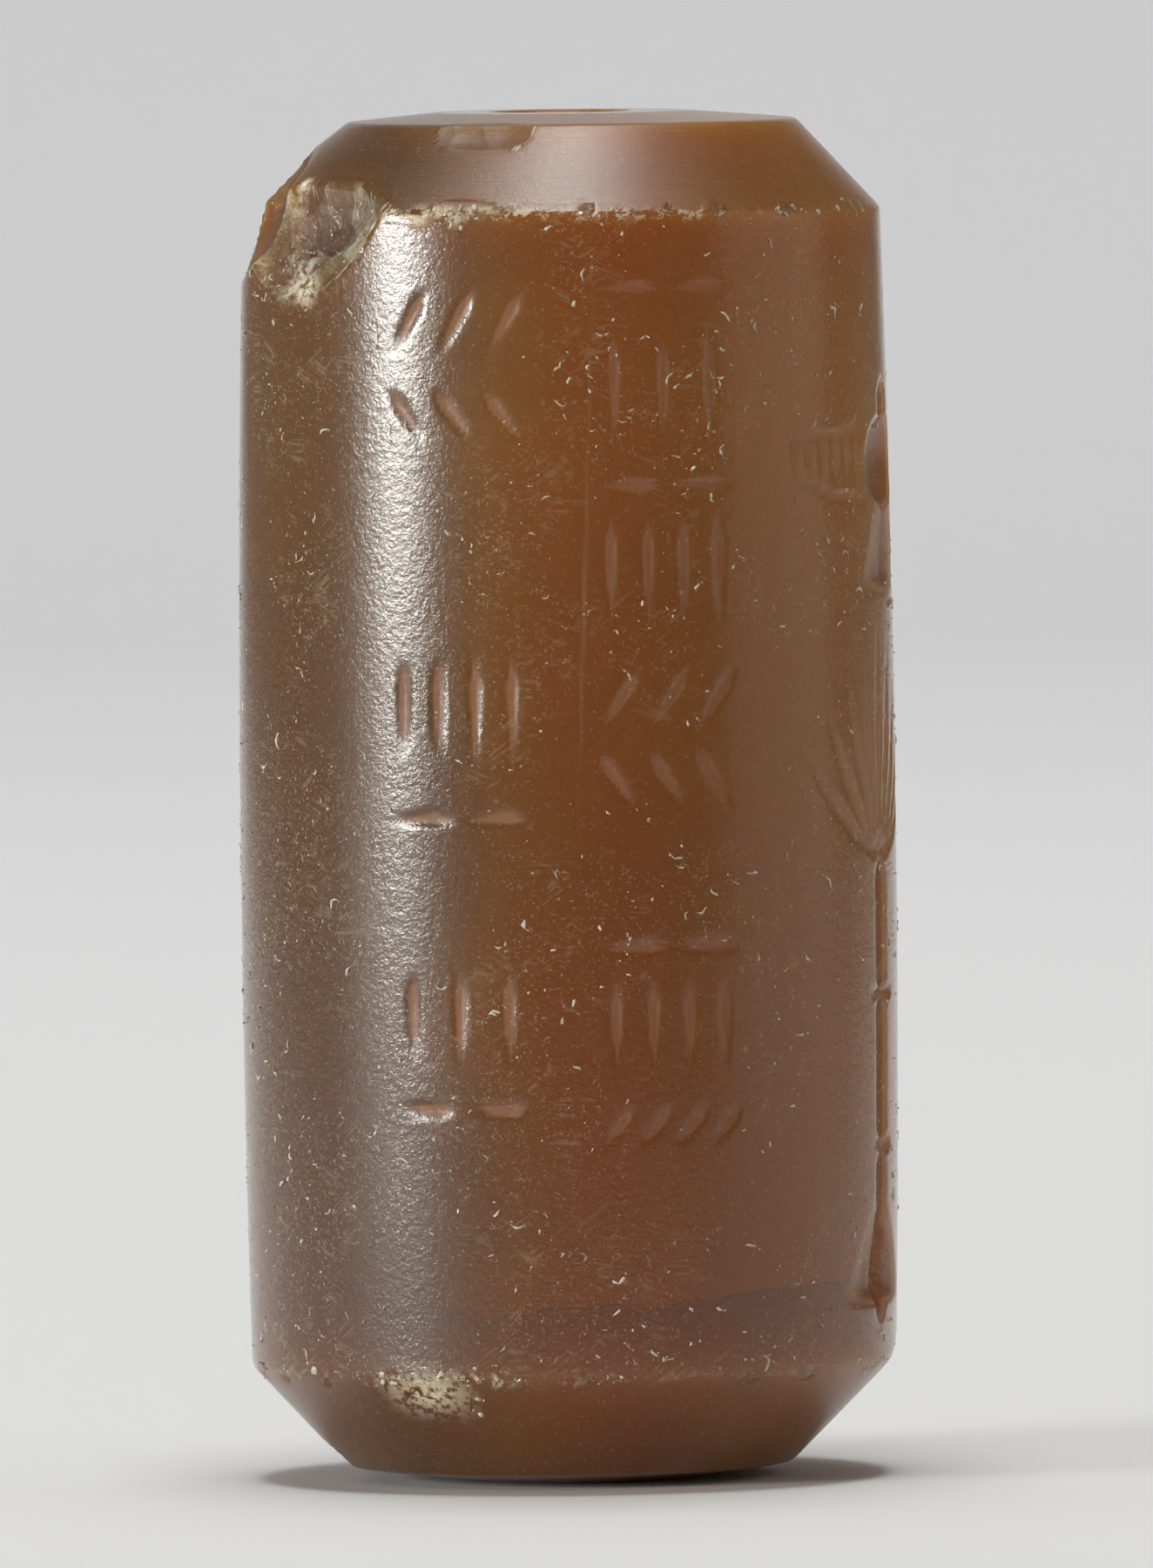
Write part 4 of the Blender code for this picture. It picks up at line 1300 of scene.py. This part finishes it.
def random_between(first, second, seed, kind="FLOAT"):
    """A random number for each point."""
    limits = {"Min": first, "Max": second}
    made_node = add_node(crumbs, "FunctionNodeRandomValue", limits, data_type=kind)
    shifted = maths(crumbs, "ADD", given["Seed"], seed)
    crumbs.links.new(shifted, made_node.inputs["Seed"])
    return enabled_socket(made_node.outputs, "Value")


def scatter(density, seed, instance, smallest, largest, pick_count, squash):
    """Scatters one of the given shapes over the skin, turned at random about its normal."""
    dense = times(crumbs, density, PER_SQUARE_METRE)
    points = add_node(crumbs, "GeometryNodeDistributePointsOnFaces", {
        "Mesh": given["Geometry"], "Density": dense, "Seed": maths(crumbs, "ADD", given["Seed"], seed),
    })
    spin = add_node(crumbs, "FunctionNodeAxisAngleToRotation", {
        "Axis": (0.0, 0.0, 1.0), "Angle": random_between(0.0, math.tau, seed + 1),
    })
    turned = add_node(crumbs, "FunctionNodeRotateRotation", {
        "Rotation": points.outputs["Rotation"], "Rotate By": spin.outputs[0],
    }, rotation_space="LOCAL")
    size = random_between(smallest, largest, seed + 2)
    flat = add_node(crumbs, "ShaderNodeCombineXYZ", {
        "X": size, "Y": size, "Z": times(crumbs, size, squash),
    })
    inputs = {
        "Points": points.outputs["Points"],
        "Instance": instance,
        "Rotation": turned.outputs[0],
        "Scale": flat.outputs[0],
    }
    if pick_count > 1:
        inputs["Pick Instance"] = True
        inputs["Instance Index"] = random_between(0, pick_count - 1, seed + 3, "INT")
    return add_node(crumbs, "GeometryNodeInstanceOnPoints", inputs).outputs[0]


# Crescents: arcs of unit radius and different sweep, thick in the middle and fine at the ends.
# Each is moved back by ARC_OFFSET, so that it turns about a point near its middle.
ARC_SWEEPS = (25.0, 40.0, 60.0, 85.0, 130.0)
ARC_STEPS = 6
ARC_THICKNESS = 0.16
ARC_SIDES = 4
ARC_OFFSET = 0.8
along_arc = crumbs.nodes.new("GeometryNodeSplineParameter").outputs["Factor"]
taper = maths(crumbs, "SINE", maths(crumbs, "MULTIPLY_ADD", along_arc, 0.8 * math.pi, 0.1 * math.pi))
section = add_node(crumbs, "GeometryNodeCurvePrimitiveCircle", {
    "Resolution": ARC_SIDES, "Radius": ARC_THICKNESS,
})
arc_shapes = crumbs.nodes.new("GeometryNodeJoinGeometry")
for sweep_angle in ARC_SWEEPS:
    arc = add_node(crumbs, "GeometryNodeCurveArc", {
        "Resolution": ARC_STEPS,
        "Radius": 1.0,
        "Start Angle": -math.radians(sweep_angle) / 2,
        "Sweep Angle": math.radians(sweep_angle),
    })
    rod = add_node(crumbs, "GeometryNodeCurveToMesh", {
        "Curve": arc.outputs["Curve"],
        "Profile Curve": section.outputs[0],
        "Scale": taper,
        "Fill Caps": True,
    })
    shape = add_node(crumbs, "GeometryNodeTransform", {
        "Geometry": rod.outputs[0], "Translation": (-ARC_OFFSET, 0.0, 0.0),
    })
    single = add_node(crumbs, "GeometryNodeGeometryToInstance")
    crumbs.links.new(shape.outputs[0], single.inputs[0])
    crumbs.links.new(single.outputs[0], arc_shapes.inputs[0])
lump = add_node(crumbs, "GeometryNodeMeshIcoSphere", {"Radius": 1.0, "Subdivisions": 2})
grain = add_node(crumbs, "GeometryNodeMeshIcoSphere", {"Radius": 1.0, "Subdivisions": 1})

marked_here = named_value(crumbs, "marked")
crust_here = named_value(crumbs, "crust")
ragged_here = named_value(crumbs, "ragged")
position = crumbs.nodes.new("GeometryNodeInputPosition").outputs[0]
clumped = remap(crumbs, cloudy(crumbs, position, 900.0, 2.0, 0.5), 0.50, 0.66)
crusty = larger(crumbs, crust_here, times(crumbs, ragged_here, 0.5))


def kind_of_crumb(name, where, seed, instance, smallest, largest, pick_count, squash):
    """Scatters one kind of crumb: its density and size are inputs of the tree."""
    density = times(crumbs, where, given[name + "s per mm2"])
    size = given[name + " size"]
    low_size, high_size = times(crumbs, size, smallest), times(crumbs, size, largest)
    return scatter(density, seed, instance, low_size, high_size, pick_count, squash)


crescent_marks = kind_of_crumb(
    "Crescent", marked_here, 10, arc_shapes.outputs[0], 0.30, 1.5, len(ARC_SWEEPS), 0.5
)
speck_marks = kind_of_crumb("Speck", marked_here, 20, grain.outputs[0], 0.5, 1.8, 1, 0.6)
lumps = kind_of_crumb("Lump", times(crumbs, crusty, clumped), 30, lump.outputs[0], 0.4, 1.5, 1, 0.6)
together = crumbs.nodes.new("GeometryNodeJoinGeometry")
for part in (crescent_marks, speck_marks, lumps):
    crumbs.links.new(part, together.inputs[0])
real = add_node(crumbs, "GeometryNodeRealizeInstances", {"Geometry": together.outputs[0]})
shake = add_node(crumbs, "ShaderNodeTexNoise", {"Vector": position, "Scale": 8000.0, "Detail": 3.0})
centred = vector_maths(crumbs, "SUBTRACT", shake.outputs["Color"], (0.5, 0.5, 0.5))
shift = vector_maths(crumbs, "SCALE", centred, given["Roughening"])
uneven = add_node(crumbs, "GeometryNodeSetPosition", {"Geometry": real.outputs[0], "Offset": shift})
smooth = add_node(crumbs, "GeometryNodeSetShadeSmooth", {"Geometry": uneven.outputs[0]})
dressed = add_node(crumbs, "GeometryNodeSetMaterial", {
    "Geometry": smooth.outputs[0], "Material": given["Material"],
})
crumbs.links.new(dressed.outputs[0], made["Geometry"])
print(f"{crumbs.name}: {len(crumbs.nodes)} nodes")

# %% Material: crust
EARTHY_COLOUR = (0.45, 0.39, 0.28, 1.0)
LIMY_COLOUR = (0.76, 0.72, 0.60, 1.0)
crust_material = bpy.data.materials.new("burial crust")
crust_material.use_nodes = True
tree = crust_material.node_tree
tree.nodes.clear()
spot = millimetres(tree)
limy = remap(tree, cloudy(tree, spot, 2.0, 4.0, 0.7), 0.35, 0.65)
dusty = mix_colours(tree, limy, EARTHY_COLOUR, LIMY_COLOUR)
crust_bump = add_node(tree, "ShaderNodeBump", {
    "Strength": 1.0, "Distance": 0.03 * MM, "Height": cloudy(tree, spot, 14.0, 3.0, 0.6),
})
crust_shader = add_node(tree, "ShaderNodeBsdfPrincipled", {
    "Base Color": dusty, "Roughness": 0.85, "Normal": crust_bump.outputs[0],
})
surface = tree.nodes.new("ShaderNodeOutputMaterial")
tree.links.new(crust_shader.outputs[0], surface.inputs["Surface"])

# %% Scatter the crust
crust_mesh = mesh_by_nodes("burial crust", stone_mesh, crumbs, {
    "Crescents per mm2": 2.0,
    "Crescent size": 0.17 * MM,
    "Specks per mm2": 3.6,
    "Speck size": 0.017 * MM,
    "Lumps per mm2": 60.0,
    "Lump size": 0.060 * MM,
    "Roughening": 0.24 * MM,
    "Seed": 11,
    "Material": crust_material,
})
burial_crust = bpy.data.objects.new("burial_crust", crust_mesh)
bpy.context.scene.collection.objects.link(burial_crust)
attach(burial_crust, "root")
triangles = sum(len(face.vertices) - 2 for face in crust_mesh.polygons)
print(f"crust of {triangles} triangles")

# %% [markdown]
# ## Studio
# A pale sweep of paper, lit from above and behind. Three strips on the left, one in front of the
# other, give the glare down the wall, which is hard in the middle and fades to its sides. Two small
# cards that stand close by carry its faint band down to the foot. A dim card on the right gives a
# broad soft shine, and a box overhead lights the bevel and the sweep.

# %% Pale sweep
SWEEP_FRONT = -0.09
SWEEP_BACK = 0.9
SWEEP_BEND = 0.35
SWEEP_TOP = 1.6
SWEEP_HALF_WIDTH = 0.22
SWEEP_STEPS = 16
bend_start = SWEEP_BACK - SWEEP_BEND
profile = [(SWEEP_FRONT, 0.0), (bend_start, 0.0)]
for i in range(1, SWEEP_STEPS + 1):
    turn = math.radians(90.0 * i / SWEEP_STEPS)
    profile.append((bend_start + SWEEP_BEND * math.sin(turn), SWEEP_BEND * (1.0 - math.cos(turn))))
profile.append((SWEEP_BACK, SWEEP_TOP))
sweep_mesh = bmesh.new()
sides = []
for x in (-SWEEP_HALF_WIDTH, SWEEP_HALF_WIDTH):
    sides.append([sweep_mesh.verts.new((x, y, z)) for y, z in profile])
for i in range(len(profile) - 1):
    sweep_mesh.faces.new((sides[0][i], sides[1][i], sides[1][i + 1], sides[0][i + 1]))
mesh = bpy.data.meshes.new("sweep")
sweep_mesh.to_mesh(mesh)
sweep_mesh.free()
mesh.shade_smooth()
sweep = bpy.data.objects.new("sweep", mesh)
bpy.context.scene.collection.objects.link(sweep)
PAPER_COLOUR = (0.85, 0.835, 0.855, 1.0)
paper = bpy.data.materials.new("pale paper")
paper.use_nodes = True
paper_shader = paper.node_tree.nodes["Principled BSDF"]
paper_shader.inputs["Base Color"].default_value = PAPER_COLOUR
paper_shader.inputs["Roughness"].default_value = 0.9
# The paper shows from its inner side only, so the seal can also be looked at from behind.
paper_tree = paper.node_tree
see_through = add_node(paper_tree, "ShaderNodeMixShader", {
    0: paper_tree.nodes.new("ShaderNodeNewGeometry").outputs["Backfacing"],
    1: paper_shader.outputs[0],
    2: paper_tree.nodes.new("ShaderNodeBsdfTransparent").outputs[0],
})
paper_tree.links.new(see_through.outputs[0], paper_tree.nodes["Material Output"].inputs["Surface"])
mesh.materials.append(paper)
print(f"sweep {SWEEP_BACK - SWEEP_FRONT:.2f} m deep")

# %% Lights
SEAL_MIDDLE = Vector((0.0, 0.0, 0.018))
SEAL_FOOT = Vector((0.0, 0.0, 0.009))
PAPER_BEHIND = Vector((0.0, 0.42, 0.0))
# The glare: three strips, one in front of the other, each with its width and power.
STRIPS = ((0.135, 1.58), (0.235, 0.74), (0.300, 0.28))
STRIP_COLOUR = (0.94, 0.96, 0.93)
# The faint band under it: two small cards, close by and out of the picture.
LOW_CARDS = ((0.026, 0.0009), (0.052, 0.0019))
LOW_CARD_COLOUR = (0.97, 0.97, 0.93)


def soft_box(name, target, bearing, distance, size, power, colour):
    """An area light that faces a point.

    Its bearing is two angles: round the point, from the camera's side, and up from the table.
    """
    light = bpy.data.lights.new(name, "AREA")
    light.shape = "RECTANGLE"
    light.size, light.size_y = size
    light.energy = power
    light.color = colour
    lamp = bpy.data.objects.new(name, light)
    turn, lift = (math.radians(angle) for angle in bearing)
    flat = math.cos(lift)
    direction = Vector((math.sin(turn) * flat, -math.cos(turn) * flat, math.sin(lift)))
    lamp.location = target + direction * distance
    lamp.rotation_euler = direction.to_track_quat("Z", "Y").to_euler()
    lamp.visible_camera = False
    bpy.context.scene.collection.objects.link(lamp)
    return lamp


def row_of_boxes(name, target, bearing, distance, height, boxes, colour):
    """Several soft boxes on one bearing, each with its own width and power."""
    for number, (width, power) in enumerate(boxes, 1):
        soft_box(f"{name} {number}", target, bearing, distance, (width, height), power, colour)


row_of_boxes("left strip", SEAL_MIDDLE, (-61.6, 6.9), 0.55, 0.10, STRIPS, STRIP_COLOUR)
row_of_boxes("low card", SEAL_FOOT, (-66.0, 0.0), 0.097, 0.018, LOW_CARDS, LOW_CARD_COLOUR)
soft_box("overhead box", SEAL_MIDDLE, (0.0, 88.0), 1.00, (0.27, 0.50), 5.3, (0.95, 0.99, 0.94))
soft_box("right card", SEAL_MIDDLE, (82.0, 0.0), 0.50, (0.44, 0.9), 0.63, (1.0, 0.92, 0.80))
back_wash = soft_box("back wash", PAPER_BEHIND, (180.0, 89.0), 1.2, (1.0, 0.5), 0.84, (0.95, 0.95, 1.0))
back_wash.data.spread = math.radians(70.0)
print("lights:", ", ".join(light.name for light in bpy.data.lights))

# %% A dim room round it
world = bpy.data.worlds.new("dim room")
world.use_nodes = True
room_light = world.node_tree.nodes["Background"].inputs
room_light["Color"].default_value = (1.0, 0.95, 0.88, 1.0)
room_light["Strength"].default_value = 0.10
bpy.context.scene.world = world
bpy.context.scene.view_settings.view_transform = "Standard"
